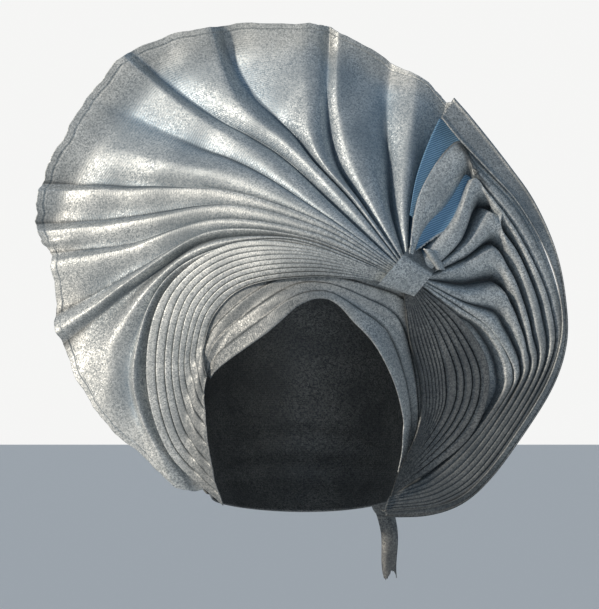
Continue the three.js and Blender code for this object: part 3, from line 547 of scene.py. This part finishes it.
# %% Left pleats
# Each row: root, over the brow, three places down the side, lower end's turn, end.
LEFT_PLEATS = [
    [[383, 277], [308, 246], [227, 245], [164, 293], [146, 372], [167, 451], [223, 506]],
    [[382.5, 278], [309, 250], [230, 251], [173, 293], [156, 367], [172, 442], [219.5, 495]],
    [[382, 279], [310, 253], [233, 256], [181, 294], [165, 364], [178, 434], [215, 483]],
    [[381.6, 280.2], [311, 256], [236, 261], [188, 296], [172, 361], [183, 425], [212, 467]],
    [[381.2, 281.4], [312, 260], [239, 266], [194, 299], [179, 358], [187, 411], [208, 445]],
    [[380.7, 282.6], [313, 264], [241, 271], [200, 302], [185, 356], [190.5, 399.5], [206, 425]],
    [[380.2, 283.8], [314, 268], [243, 276], [205, 305], [190.5, 354], [195.5, 388], [205, 410]],
    [[379.7, 285], [315, 272], [246, 281], [210, 308], [196.5, 351], [199, 374], [204, 394]],
    [[379.2, 286], [316, 276.5], [250, 285], [216, 312], [203, 347], [203, 362], [206.5, 377]],
]
left_v = np.linspace(0, 1, 220)
left_a, points, dull = knife_points(routes_of(LEFT_PLEATS), left_v, stand=0.0030)
left_pleats = grid_mesh("left_pleats_cloth", points, thread_uv(left_a, left_v, across=0.02, length=0.30))
mark(left_pleats, dull=dull)
declare_sheet(left_pleats, "left_pleats", "lurex_cloth", wall=0.0005, flat=(0.055, 0.25))

# %% [markdown]
# ## Pleats on the right
# Five wide pleats and seven fine ones fall from under the knot and sweep round to the lower right. Drawing
# all of them would only repeat the fine ones, so those are mixed from the two rows at their sides.

# %% Right pleats
# Each row: root, fall, side, turn, end; then the number of equal pleats to the next row.
RIGHT_PLEATS = [
    ([[429, 294], [467, 326], [490, 376], [469, 439], [391, 497]], 1),
    ([[427, 296], [459, 330], [480, 380], [461, 433], [392, 493]], 1),
    ([[424, 298], [453, 331], [472, 380], [455, 429], [393, 490]], 1),
    ([[421, 300], [446, 332], [463.5, 380], [450, 426], [393.5, 488.5]], 1),
    ([[418, 301], [440, 333], [456, 380], [445, 423], [394, 487]], 1),
    ([[415, 302], [434, 335], [445, 380], [439, 420], [394.5, 485.5]], 7),
    ([[402, 304], [410, 339], [421, 381], [420, 425], [396, 480]], 0),
]


def split_rows(rows):
    """Adds the equal pleats between two rows by mixing the rows."""
    lines = routes_of([row[0] for row in rows])
    found = [mix(lines[k], lines[k + 1], share / count)
             for k, (_, count) in enumerate(rows) for share in range(count)]
    return np.array(found + [lines[-1]])


right_v = np.linspace(0, 1, 160)
right_a, points, dull = knife_points(split_rows(RIGHT_PLEATS), right_v, stand=0.0028)
right_pleats = grid_mesh("right_pleats_cloth", points, thread_uv(right_a, right_v, across=0.02, length=0.20))
mark(right_pleats, dull=dull)
# Painted shade: these pleats take the darker copy of the cloth.
declare_sheet(right_pleats, "right_pleats", "lurex_shade", wall=0.0005, flat=(0.05, 0.16))

# %% [markdown]
# ## The bow
# To the right of the knot the bunched cloth opens in deep rolls. Each roll climbs to a corner, turns
# sharply there and runs on down the right side as a flat band, one band behind the next. Each roll could
# be a tube of its own, but on the real tie they are one gathered sheet, so they share one table of fold
# lines.

# %% Fold lines of the bow
# Each row: root, rise, corner, shoulder, side, hip, bend, sweep, under, end; then the valley's place, its
# depth beside the knot and in the bands, and the lift at the knot, at the corner and at the end.
BOW_FOLDS = [
    ([[408, 249], [421, 192], [456, 140], [481, 156], [530, 212], [562, 290], [563, 350], [500, 470],
      [448, 507], [384, 514]], 0.5, 0.1, 0.2, [0.5, 1, 0.6]),
    ([[411, 249], [427, 194], [460, 150], [479, 174], [523, 225], [556, 298], [557, 360], [496, 466],
      [446, 503], [385, 511]], 0.75, 0.7, 0.5, [0.5, 1, 0.6]),
    ([[437, 271], [455, 233], [473, 181], [489, 194], [521, 239], [550, 306], [549, 366], [491, 462],
      [444, 499], [386, 508]], 0.55, 0.6, 0.5, [0.5, 1, 0.5]),
    ([[440, 274], [469, 248], [495, 222], [507, 240], [523, 267], [539, 318], [540, 372], [487, 458],
      [442, 495], [387, 505]], 0.55, 0.6, 0.5, [0.4, 0.8, 0.4]),
    ([[441, 279], [466, 268], [495, 257], [510, 276], [520, 298], [531, 338], [532, 377], [483, 454],
      [440, 490], [388, 502]], 0.5, 0.6, 0.5, [0.3, 0.6, 0.3]),
    ([[438, 285], [466, 297], [502, 300], [512, 314], [518, 328], [525, 352], [523, 381], [479, 450],
      [438, 486], [389, 499]], 0.4, 0.4, 0.5, [0.2, 0.4, 0.2]),
    ([[435, 289], [460, 305], [487, 322], [500, 338], [509, 352], [517, 372], [511, 392], [474, 446],
      [435, 481], [390, 497]], 0.4, 0.4, 0.4, [0.1, 0.2, 0.1]),
    ([[432, 292], [458, 311], [481, 325], [493, 338], [502, 353], [508, 372], [504, 395], [469, 442],
      [431, 476], [391, 495]], 0.4, 0.3, 0.3, [0, 0, 0]),
    ([[419, 299], [444, 318], [463, 328], [474, 343], [481, 356], [486, 374], [485, 395], [459, 438],
      [427, 468], [392, 493]], 0.5, 0.1, 0.1, [-0.2, -0.2, -0.2]),
]
CORNER_SHARE = 2 / 9
EDGE_ROLL = 0.004           # how far back the free edge beside the fan is rolled
ROLL_VALLEY = (0.35, 0.9)   # the first roll's right edge, beside the knot and at its corner
BAND_SHARE = 0.22           # depth of the flat bands, as a share of the distance between their folds
print("folds in the bow", len(BOW_FOLDS))

# %% Bow
def bow_lift(a, v):
    """How far the bow stands in front of the fan: straight lines between knot, corner and end."""
    lifts = np.array([row[4] for row in BOW_FOLDS], float)[:, None, :]
    root, corner, end = np.moveaxis(curve(lifts, a, np.zeros(1, int)), -1, 0)
    early = mix(root, corner, v / CORNER_SHARE)
    late = mix(corner, end, (v - CORNER_SHARE) / (1 - CORNER_SHARE))
    return BOW_LIFT * np.where(v < CORNER_SHARE, early, late)


def bow_marks(grid, way, v):
    """How much blue shows and how much painted shade the bow has [grid, v], from the way down to the valley.

    Painted shade lies in the valleys, on the lower bands, and round the corner of the first roll on three
    small places, where it dims highlights. The blue is the reverse inside the first roll and painted sky
    reflection in the valleys."""
    fold = grid[:, None]
    inside = ((fold > 1.3) & (fold < 1.95)) * (1 - smooth(0.17, 0.21, v))
    reverse = np.maximum(0.3 * way ** 3, 0.9 * smooth(0.6, 0.8, way) * inside)
    beyond = smooth(0.1, 0.5, fold) * (fold <= 1.02) * (smooth(0.2, 0.24, v) - smooth(0.28, 0.36, v))
    corner = ((fold > 0.93) & (fold < 1.6)) * (smooth(0.22, 0.25, v) - smooth(0.34, 0.38, v))
    tip = (1 - smooth(0.3, 0.5, fold)) * smooth(0.15, 0.19, v) * (v < 0.4)
    places = np.maximum(0.65 * beyond, np.maximum(0.7 * corner, 0.55 * tip))
    hollows = np.maximum(0.9 * way ** 5 * (fold > 1), 0.75 * smooth(0.52, 0.72, v))
    return reverse, np.maximum(hollows, places)


def bow_points(grid, v):
    """Lifted sheet plus folds, creased in the valleys.

    Gives a, the points, how much blue shows and how much painted shade there is."""
    routes = routes_of([row[0] for row in BOW_FOLDS])
    valleys, low, band = (np.array([row[k] for row in BOW_FOLDS[:-1]])[:, None] for k in (1, 2, 3))
    surface = fold_surface(routes, lambda x, z, a, v: cloth_depth(x, z) + bow_lift(a, v))
    valleys = np.tile(valleys, len(v))
    valleys[1] = mix(mix(*ROLL_VALLEY, smooth(0, 0.2, v)), valleys[1], smooth(0.24, 0.34, v))
    a, way, index = fold_grid(grid, valleys)
    share = mix(low[index], band[index], smooth(0.2, 0.35, v))
    share = mix(share, BAND_SHARE, smooth(0.6, 0.74, v))
    depth = np.minimum(BOW_STAND, line_gaps(routes, v)[index] * share)
    stand = -depth * creased(way, 3.2)
    under = UNDER_PLEATS * mix(1, 0.4, smooth(0.55, 0.75, v))
    stand = stand - under * smooth(len(valleys) - 1, len(valleys) - 0.3, a)
    stand = stand - EDGE_ROLL * (1 - smooth(0, 0.45, a)) * smooth(0, 0.1, v)
    return a, surface(a, v) + facing(surface, a, v) * stand[..., None], *bow_marks(grid, way, v)


bow_v = np.linspace(0, 1, 230)
bow_grid = np.linspace(0, len(BOW_FOLDS) - 1, (len(BOW_FOLDS) - 1) * FOLD_STEPS + 1)
bow_a, points, reverse, dull = bow_points(bow_grid, bow_v)
bow_folds = grid_mesh("bow_cloth", points, thread_uv(bow_a, bow_v, across=0.025, length=0.40))
mark(bow_folds, reverse=reverse, dull=dull)
declare_sheet(bow_folds, "bow_folds", "lurex_cloth", wall=0.0006, flat=(0.10, 0.30))

# %% [markdown]
# ## The reverse of the cloth
# In two places the cloth is turned over and shows its blue, ribbed reverse: between the fan and the bow,
# and inside the bow's first roll, where it ends in a frayed edge. It could be more of the fan's and the
# bow's own sheets, but they would have to turn over on themselves. A small sheet between two lines is
# simpler and looks the same.

# %% Reverse panels
fray = np.random.default_rng(7)
PANEL_SAG = 0.002
THREAD_SLANT = 0.4   # the threads of the panels run on the bias


def reverse_panel(name, hidden, free, lift, pale, node, flat):
    """A sheet straight between two curved lines of the chart; its frayed edge is pale past a share."""
    a, v = np.linspace(0, 1, 21), np.linspace(0, 1, 90)
    lines = curve(place(np.stack([hidden, free], 1)), v)
    spots = mix(lines[None, :, 0], lines[None, :, 1], a[:, None, None])
    x, z = spots[..., 0], spots[..., 1]
    x[-1] += fray.uniform(-0.0006, 0.0006, len(v))
    z[-1] += fray.uniform(-0.0009, 0.0002, len(v))
    sag = PANEL_SAG * np.sin(math.pi * a)[:, None]
    points = np.stack([x, -cloth_depth(x, z) - lift + sag, z], -1)
    piece = grid_mesh(name, points, np.stack([x + THREAD_SLANT * z, z - THREAD_SLANT * x], -1))
    mark(piece, reverse=np.broadcast_to(np.where(a < pale, 0.95, 0)[:, None], x.shape))
    declare_sheet(piece, node, "lurex_cloth", wall=0.0005, flat=flat)


reverse_panel("fan_reverse_cloth", [[440, 118], [431, 137], [422, 160], [415, 184], [410, 215]],
              [[474, 137], [464, 158], [452, 178], [435, 198], [418, 221]], lift=0.0055, pale=2,
              node="main_fan", flat=(0.023, 0.074))
reverse_panel("bow_reverse_cloth", [[466, 166], [448, 184], [434, 200], [422, 222], [412, 248]],
              [[474, 180], [468, 203], [455, 226], [434, 238], [415, 251]], lift=0.0045, pale=0.93,
              node="bow_folds", flat=(0.016, 0.068))

# %% [markdown]
# ## The band along the right side
# The end of the cloth lies flat over the bow's outermost fold, cut off raw at the top. A curve with a flat
# bevel could make it, but its width changes on the way, so it is a sheet between an outer and an inner
# edge.

# %% Border band
# Each row: outer edge, inner edge.
BORDER = [
    ([456, 98], [442, 118]), ([475, 120], [460, 140]), ([510, 164.5], [492, 174]), ([536, 202], [519, 204]),
    ([557, 250], [546, 250]), ([566.5, 300], [560, 291]), ([567, 345], [563, 335]), ([552, 390], [547, 385]),
    ([516, 446], [511, 442]), ([488, 482], [483, 478]), ([461, 504.5], [458, 499]),
    ([428, 515.5], [427, 508]), ([386, 517], [386, 511]),
]
BORDER_ROLL = 0.0014   # how far forward both edges are rolled


def border_points(a, v):
    """Straight across between its two edge curves, lifted in front of the bow, with rolled edges."""
    edges = curve(place([[inner, outer] for outer, inner in BORDER]), v)
    spots = mix(edges[None, :, 0], edges[None, :, 1], a[:, None, None])
    x, z = spots[..., 0], spots[..., 1]
    lift = BOW_LIFT * mix(1, 0.6, v) + WALL + 2 * AIR
    rolled = BORDER_ROLL * (np.exp(-(((a - 0.06) / 0.07) ** 2)) + np.exp(-(((0.94 - a) / 0.07) ** 2)))
    return np.stack([x, -cloth_depth(x, z) - lift - rolled[:, None], z], -1)


border_a, border_v = np.linspace(0, 1, 33), np.linspace(0, 1, 260)
points = border_points(border_a, border_v)
points[:, 0] += (points[:, 1] - points[:, 3]) * fray.uniform(0, 0.9, (len(border_a), 1))
top_band = grid_mesh("border_cloth", points, thread_uv(border_a, border_v, across=0.015, length=0.40))
# Painted shade: the band is darkened, and more so on its lower part.
mark(top_band, dull=np.broadcast_to(mix(0.3, 0.7, smooth(0.6, 0.8, border_v)), points.shape[:2]))
declare_sheet(top_band, "top_band", "lurex_cloth", wall=0.0009, flat=(0.010, 0.39))

# %% [markdown]
# ## The brow band
# The first turns of the cloth lie flat round the face opening, each strip a little further in than the
# last. Separate strips would need one sheet each. They are one cloth, so one sheet with a stepped profile
# does it.

# %% Brow band
# Each row: the edge at the opening, the hidden edge under the pleats.
BROW_BAND = [
    ([209, 378], [204, 364]), ([214, 371], [202.5, 340]), ([227, 360], [212.5, 313]),
    ([265, 333], [247, 281]), ([299, 306], [288, 264]), ([328, 299], [327, 268]),
    ([353, 320], [374, 274]), ([376, 344.5], [420, 292]), ([395, 381], [432, 350]),
    ([404.6, 417], [433, 408]), ([404.6, 434], [426, 434]), ([403.5, 453], [414, 455]),
    ([399.5, 473], [403, 474]),
]
# The profile of one strip: share of its width, and height in strip heights.
STRIP = np.array([[0.02, 0.1], [0.2, 0.35], [0.5, 0.6], [0.8, 0.85], [0.93, 1.0], [0.99, 0.75]])
STRIPS, STRIP_STAND = 4, 0.0008


def band_points(v):
    """Between its two edge curves, in strips that each stand a little over the one outside it.

    Gives where across each row of points is, counted in strips, and the points."""
    across = np.repeat(np.arange(STRIPS), len(STRIP)) + np.tile(STRIP[:, 0], STRIPS)
    across = np.append(0.0, across)
    height = np.append(-0.6, np.tile(STRIP[:, 1], STRIPS))
    edges = place([[face, hidden] for face, hidden in BROW_BAND])

    def surface(a, v):
        ends = curve(edges, v)
        spots = mix(ends[None, :, 0], ends[None, :, 1], a[:, None, None] / STRIPS)
        x, z = spots[..., 0], spots[..., 1]
        under = UNDER_PLEATS * mix(0.2, 0.6, smooth(-0.05, -0.02, x))
        return np.stack([x, -cloth_depth(x, z, under), z], -1)

    stand = (height - 1.4) * STRIP_STAND
    return across, surface(across, v) + facing(surface, across, v) * stand[:, None, None]


band_v = np.linspace(0, 1, 300)
band_a, points = band_points(band_v)
forehead_band = grid_mesh("brow_cloth", points, thread_uv(band_a, band_v, across=0.008, length=0.40))
# Painted shade: dark lines in the slits between the strips, and a darker left part that dims its highlights.
lines = ((band_a % 1 < 0.03) & (band_a > 0.5))[:, None]
mark(forehead_band, dull=np.maximum(0.8 * lines, mix(0.5, 0.12, smooth(0.3, 0.5, band_v))))
declare_sheet(forehead_band, "forehead_band", "lurex_cloth", wall=0.0006, flat=(0.033, 0.30))

# %% [markdown]
# ## The knot
# A strap of the same cloth is drawn tight round the bunched pleats. A bevelled box would be too even. So
# its section is a rounded lozenge that is wider towards the fan and creased near its top, and it is
# carried straight along the strap's width.

# %% Knot
KNOT_WIDTH, KNOT_DEPTH = 0.024, 0.022
KNOT_UP, KNOT_ALONG = np.array([0.642, 0.766]), np.array([0.766, -0.642])
# How far below and above the middle the strap reaches at either end, in widths: low, crease, high.
KNOT_ENDS = np.array([[-0.76, 0.34, 0.83], [-0.36, 0.47, 0.79]])
# How far back each corner of the section lies, in depths, once round from the low edge of the front.
KNOT_BACK = [0.16, 0.06, 0.01, 0, 0.22, 0.5, 0.92, 1, 0.9, 0.16]
KNOT_PROUD = 0.4     # the share of its depth that stands in front of the pleats
KNOT_RINGS, KNOT_AROUND = 9, 46


def knot_points(count, around):
    """Sections [ring, point] of up, deep and along, smoothed round and carried along the strap."""
    share = np.linspace(0, 1, count)[:, None]
    low, crease, high = (mix(KNOT_ENDS[0, k], KNOT_ENDS[1, k], share) * KNOT_WIDTH for k in range(3))
    section = np.stack([np.concatenate([low, mix(low, crease, 0.12), mix(low, crease, 0.5), crease,
                                        mix(crease, high, 0.75), high, mix(crease, high, 0.6),
                                        mix(low, high, 0.5), mix(low, crease, 0.2), low], 1),
                        np.broadcast_to(KNOT_BACK, (count, len(KNOT_BACK)))], -1)
    corners = np.arange(len(KNOT_BACK))
    turn = np.linspace(0, 1, around) * corners[-1]
    fine = np.array([np.interp(turn, corners, column) for row in section for column in row.T])
    fine = fine.reshape(count, 2, around)
    kernel = np.ones(3) / 3
    closed = np.concatenate([fine[..., -3:-1], fine, fine[..., 1:3]], -1)
    soft = np.apply_along_axis(lambda line: np.convolve(line, kernel, "same"), -1, closed)[..., 2:-2]
    up, deep = soft[:, 0], soft[:, 1]
    along = mix(-0.5, 0.5, share) * KNOT_WIDTH
    middle = place(KNOT_MIDDLE)
    x, z = (middle[k] + KNOT_UP[k] * up + KNOT_ALONG[k] * along for k in (0, 1))
    return np.stack([x, (deep - KNOT_PROUD) * KNOT_DEPTH - cloth_depth(x, z), z], -1)


def lump_mesh(name, rings):
    """A closed mesh from closed rings whose last point repeats the first, with both ends filled."""
    count, around = rings.shape[0], rings.shape[1] - 1
    index = np.arange(count * around).reshape(count, around)
    quads = np.stack([index[:-1], index[1:], np.roll(index[1:], -1, 1), np.roll(index[:-1], -1, 1)], -1)
    mesh = bpy.data.meshes.new(name)
    mesh.from_pydata(rings[:, :-1].reshape(-1, 3).tolist(), [],
                     quads.reshape(-1, 4).tolist() + [index[0].tolist(), index[-1, ::-1].tolist()])
    mesh.update()
    piece = bpy.data.objects.new(name, mesh)
    bpy.context.scene.collection.objects.link(piece)
    return piece


knot_band = lump_mesh("knot_cloth", knot_points(KNOT_RINGS, KNOT_AROUND))
# Painted shade: the strap is darkened beyond its crease, where it turns back under the fan.
around = np.arange(KNOT_AROUND - 1)
mark(knot_band, dull=np.tile(np.where((around > 15) & (around < 32), 0.65, 0), KNOT_RINGS))
declare_lump(knot_band, "knot_band", "lurex_cloth")

# %% [markdown]
# ## The tuck beside the knot
# A small end of the cloth curls out of the bow beside the knot. It could be a bent plane, but a half
# circle carried along a line is as short to write and lies at the depth of the cloth.

# %% Tuck
TUCK_ENDS = [441, 270], [427, 249]
TUCK_RADIUS, TUCK_LIFT, TUCK_SKEW = 0.003, 0.006, 0.002


def tuck_points(a, v):
    """A gutter: nine tenths of a half circle, swept from beside the knot's right corner upwards."""
    start, finish = place(TUCK_ENDS)
    curl = 0.9 * math.pi * (a[:, None] - 0.5)
    x = mix(start[0], finish[0], v) + TUCK_RADIUS * np.sin(curl)
    z = mix(start[1], finish[1], v) + TUCK_SKEW * np.sin(math.pi * v) * a[:, None]
    return np.stack([x, -cloth_depth(x, z) - TUCK_LIFT - TUCK_RADIUS * np.cos(curl), z], -1)


tuck_a, tuck_v = np.linspace(0, 1, 20), np.linspace(0, 1, 24)
knot_tuck = grid_mesh("tuck_cloth", tuck_points(tuck_a, tuck_v),
                      thread_uv(tuck_a, tuck_v, across=0.012, length=0.022))
declare_sheet(knot_tuck, "knot_tuck", "lurex_cloth", wall=0.0006, flat=(0.010, 0.018))

# %% [markdown]
# ## The cap
# Under everything the cloth is drawn smooth over the crown and down the back. A sphere cut open at the
# front would leave a stepped edge. Here the surface is an egg in polar coordinates whose edge is the
# opening itself: turn goes once round the cap's edge, out goes from a pole at the back to that edge.

# %% The cap's edge
FACE_EDGE = [[216, 486], [210, 462], [205.5, 420], [207, 382], [227, 360], [265, 333], [300, 305], [328, 299],
             [353, 320], [376, 344.5], [395, 381], [404.6, 417], [404, 455], [396, 479]]
FACE_TURN = 0.62
EDGE_COVER = 0.008
EDGE_WIDEST = 0.485 * HEAD_BREADTH


def face_part(share):
    """The cap's edge over the brow: the opening's edge moved outwards, on the front of the egg."""
    x, z = curve(place(FACE_EDGE), share).T
    away = np.stack([x, z + FACE_DROP])
    away *= EDGE_COVER / np.linalg.norm(away, axis=0)
    level = z + away[1] + CROWN
    widest = EDGE_WIDEST * np.sqrt(1 - (level / np.where(level < 0, NAPE_REACH, CROWN)) ** 2)
    across = np.clip(x + away[0], -widest, widest)
    return np.stack([across, -head_front(across, level - CROWN, 0), level], -1)


def cap_edge(turn):
    """Once round: over the brow, then back round the nape, a dip between the opening's two ends."""
    face = face_part(np.clip(turn / FACE_TURN, 0, 1))
    start, finish = face_part(np.array([1.0]))[0], face_part(np.array([0.0]))[0]
    share = np.clip((turn - FACE_TURN) / (1 - FACE_TURN), 0, 1)
    angle = mix(math.atan2(start[1], start[0]), math.atan2(finish[1], finish[0]) + 2 * math.pi, share)
    level = mix(mix(start[2], finish[2], share), CROWN - CAP_END, np.sin(math.pi * share))
    ring = np.sqrt(1 - (level / NAPE_REACH) ** 2)
    back = np.stack([np.cos(angle) * ring * HEAD_BREADTH / 2,
                     np.sin(angle) * ring * HEAD_DEPTH / 2, level], -1)
    return np.where((turn < FACE_TURN)[:, None], face, back)


print("middle of the cap's front edge", face_part(np.array([0.5]))[0].round(4))

# %% Cap
CAP_POLE = np.array([0, 1, 0.15]) / math.hypot(1, 0.15)
BACK_WAVE = 0.0025   # how far the cloth waves at the back, as a share of its distance from the origin


def cap_points(turn, out, grown):
    """Great circles from the pole to the edge, each direction reaching the grown egg."""
    edge = cap_edge(turn)
    edge /= np.linalg.norm(edge, axis=1, keepdims=True)
    angle = np.arccos(edge @ CAP_POLE)[None, :, None]
    out = out[:, None, None]
    direction = (np.sin((1 - out) * angle) * CAP_POLE + np.sin(out * angle) * edge[None]) / np.sin(angle)
    down = np.where(direction[..., 2] < 0, NAPE_REACH, CROWN)
    breadth, depth = (np.full(down.shape, full / 2 + grown) for full in (HEAD_BREADTH, HEAD_DEPTH))
    size = np.stack([breadth, depth, down + grown], -1)
    reach = 1 / np.linalg.norm(direction / size, axis=-1, keepdims=True)
    return direction * reach - np.array([0, 0, CROWN])


cap_turn, cap_out = np.linspace(0, 1, 181), np.linspace(0, 1, 70)
points = cap_points(cap_turn % 1, cap_out, WALL)
back_wave = np.sin(9 * math.pi * cap_out[:, None] + 1.5 * np.sin(2 * math.pi * cap_turn[None, :]))
points *= 1 + BACK_WAVE * back_wave[..., None] * np.sin(math.pi * cap_out[:, None, None])
head_cap = grid_mesh("cap_cloth", points, points[..., [0, 2]])
weld(head_cap)
declare_sheet(head_cap, "head_cap", "lurex_shade", wall=0.0010, flat=(0.26, 0.27))

# %% [markdown]
# ## The tie at the nape
# The ends of the pleats are held round the nape by a folded band with a small knot and a raw, hanging
# tail. A torus would be too round for the band. It follows the cap at a given distance instead, so it lies
# close.

# %% Nape band
NAPE_BAND, NAPE_FOLDS = 0.018, 3
NAPE_RISE = 0.009    # how much higher the band's ends lie than its middle


def nape_ring(level, angle, offset):
    """A place outside the egg at a level and an angle round it."""
    ring = np.sqrt(1 - (level / (NAPE_REACH + offset)) ** 2)
    return np.stack(np.broadcast_arrays(np.cos(angle) * ring * (HEAD_BREADTH / 2 + offset),
                                        np.sin(angle) * ring * (HEAD_DEPTH / 2 + offset), level - CROWN), -1)


nape_a, nape_v = np.linspace(0, 1, 49), np.linspace(0.02, 0.92, 130)
level = CROWN + 0.5 * NAPE_BAND - CAP_END + 2 * WALL + (nape_a[:, None] - 0.5) * NAPE_BAND
level = level + NAPE_RISE * np.abs(np.cos(math.pi * nape_v)) ** 3
puff = WALL * (1.5 + 0.6 * np.abs(np.sin(NAPE_FOLDS * math.pi * nape_a[:, None]))) + 2 * AIR
nape_band = grid_mesh("nape_band_cloth", nape_ring(level, nape_v[None, :] * math.pi, WALL + puff),
                      thread_uv(nape_a, nape_v, across=0.03, length=0.25))
declare_sheet(nape_band, "nape_band", "lurex_shade", wall=0.0010, flat=(0.027, 0.24))

# %% Nape knot
NAPE_KNOT, NAPE_ANGLE = 0.024, 0.23 * math.pi
POLE_GAP = 0.02      # radians left open at either pole, which the end faces close


def ball_points(turn, rise, half, swing, middle):
    """A ball with three lobes and fine creases, a little flat, turned by swing about the upright axis."""
    lobes = 1 + 0.12 * np.sin(3 * turn) * np.sin(rise) ** 2 + 0.02 * np.sin(11 * turn + 4 * rise)
    puffed = lobes * np.sin(rise)
    side, out = puffed * np.cos(turn) * half, puffed * np.sin(turn) * 0.7 * half
    up = np.cos(rise) * 0.9 * half
    return np.stack(np.broadcast_arrays(side * math.cos(swing) - out * math.sin(swing),
                                        side * math.sin(swing) + out * math.cos(swing), up), -1) + middle


nape_spot = nape_ring(CROWN - CAP_END + 0.3 * NAPE_BAND, NAPE_ANGLE, 3 * WALL + 0.3 * NAPE_KNOT)
turn = np.linspace(0, 2 * math.pi, 61)[None, :]
rise = np.linspace(POLE_GAP, math.pi - POLE_GAP, 33)[:, None]
nape_knot = lump_mesh("nape_knot_cloth",
                      ball_points(turn, rise, NAPE_KNOT / 2, NAPE_ANGLE - math.pi / 2, nape_spot))
nape_knot.data.polygons.foreach_set("use_smooth", np.ones(len(nape_knot.data.polygons), bool))
declare_lump(nape_knot, "nape_knot", "lurex_shade")

# %% Tail
TAIL_LENGTH, TAIL_WIDTH, TAIL_FRAY = 0.044, 0.013, 0.001


def tail_points(a, v):
    """A strip that hangs from the knot: it narrows downwards, swings in slow sines and ends unevenly."""
    a, v = a[:, None], v[None, :]
    return np.stack(np.broadcast_arrays(
        nape_spot[0] + (a - 0.5) * TAIL_WIDTH * (1 - 0.25 * v) + 0.005 * v + 0.0015 * np.sin(5 * v),
        nape_spot[1] - WALL * np.sin(math.pi * a) - 0.002 * np.sin(4 * v),
        nape_spot[2] - 0.3 * NAPE_KNOT - v * (TAIL_LENGTH + 0.003 * np.sin(7 * a))), -1)


tail_a, tail_v = np.linspace(0, 1, 22), np.linspace(0, 1, 60)
tail = tail_points(tail_a, tail_v)
tail[:, -1, 2] += fray.uniform(-TAIL_FRAY, TAIL_FRAY, len(tail_a))
nape_tail = grid_mesh("tail_cloth", tail, thread_uv(tail_a, tail_v, across=0.012, length=TAIL_LENGTH))
declare_sheet(nape_tail, "nape_tail", "lurex_shade", wall=0.0008, flat=(0.013, 0.042))

# %% [markdown]
# ## Floor, light and camera
# A pale floor below, a pale sky that is bluer overhead, and a broad warm light from the upper left. A lamp
# on every side would flatten the folds. One lamp and the sky leave each fold its light and its shaded
# side. The camera looks straight at the front from far away, with a long lens.

# %% Floor
FLOOR_LEVEL, FLOOR_HALF = -0.30, 12.0


def floor_material():
    """Matt, even, off-white paint, which gives the eye no pattern."""
    material = bpy.data.materials.new("pale_floor")
    material.use_nodes = True
    tree = material.node_tree
    tree.nodes.clear()
    surface = add(tree, "ShaderNodeBsdfPrincipled", {"Base Color": linear("#e6e6e4"), "Roughness": 0.9})
    add(tree, "ShaderNodeOutputMaterial", {"Surface": surface.outputs[0]})
    return material


floor_corners = np.array([[[-1, -1], [1, -1]], [[-1, 1], [1, 1]]]) * FLOOR_HALF
floor = grid_mesh("floor", np.concatenate([floor_corners, np.full((2, 2, 1), FLOOR_LEVEL)], -1))
floor.data.materials.append(floor_material())
print("floor", 2 * FLOOR_HALF, "metres wide")

# %% Sky
world = bpy.data.worlds.new("pale_sky")
bpy.context.scene.world = world
world.use_nodes = True
sky = world.node_tree
sky.nodes.clear()
direction = add(sky, "ShaderNodeTexCoord")
heights = add(sky, "ShaderNodeSeparateXYZ", {0: direction.outputs["Generated"]})
blue = add(sky, "ShaderNodeMapRange", {"Value": heights.outputs["Z"], "From Min": 0.06, "From Max": 0.2})
tint = add(sky, "ShaderNodeMix", {"Factor": blue.outputs[0], "A": linear("#fbfbfa"), "B": linear("#7b8fa3")},
           data_type="RGBA")
light = add(sky, "ShaderNodeBackground", {"Color": tint.outputs["Result"], "Strength": 0.95})
add(sky, "ShaderNodeOutputWorld", {"Surface": light.outputs[0]})
print("sky nodes", len(sky.nodes))

# %% Lamp
LAMP_AWAY = 2.0


def lamp(name, kind, aim, energy, colour, **settings):
    """A lamp that shines along aim, from a point far back along it."""
    data = bpy.data.lights.new(name, kind)
    data.energy, data.color = energy, linear(colour)[:3]
    for key, value in settings.items():
        setattr(data, key, value)
    holder = bpy.data.objects.new(name, data)
    bpy.context.scene.collection.objects.link(holder)
    back = -np.array(aim, float) / np.linalg.norm(aim)
    holder.location = back * LAMP_AWAY
    yaw, rise = math.atan2(back[1], back[0]), math.asin(back[2])
    holder.rotation_euler = (math.pi / 2 - rise, 0, yaw + math.pi / 2)
    return holder


key = lamp("warm_key", "SUN", (0.90, 0.58, -0.24), 2.9, "#fff2e2", angle=math.radians(5))
print("lamp at", [round(value, 2) for value in key.location])

# %% Camera
CAMERA_AWAY, FRAME_COLUMNS, FRAME_ROWS = 7.0, 599, 609
TIE_FRONT = 0.045    # how far the part that the frame is measured on stands in front of the origin
frame_middle = place([FRAME_COLUMNS / 2, FRAME_ROWS / 2])
camera_data = bpy.data.cameras.new("camera")
camera = bpy.data.objects.new("camera", camera_data)
bpy.context.scene.collection.objects.link(camera)
bpy.context.scene.camera = camera
camera.location = (frame_middle[0], -CAMERA_AWAY, frame_middle[1])
camera.rotation_euler = (math.pi / 2, 0, 0)
camera_data.lens = camera_data.sensor_width * (CAMERA_AWAY - TIE_FRONT) / (FRAME_ROWS * SQUARE)
bpy.context.scene.view_settings.view_transform = "Standard"
print("lens", round(camera_data.lens))
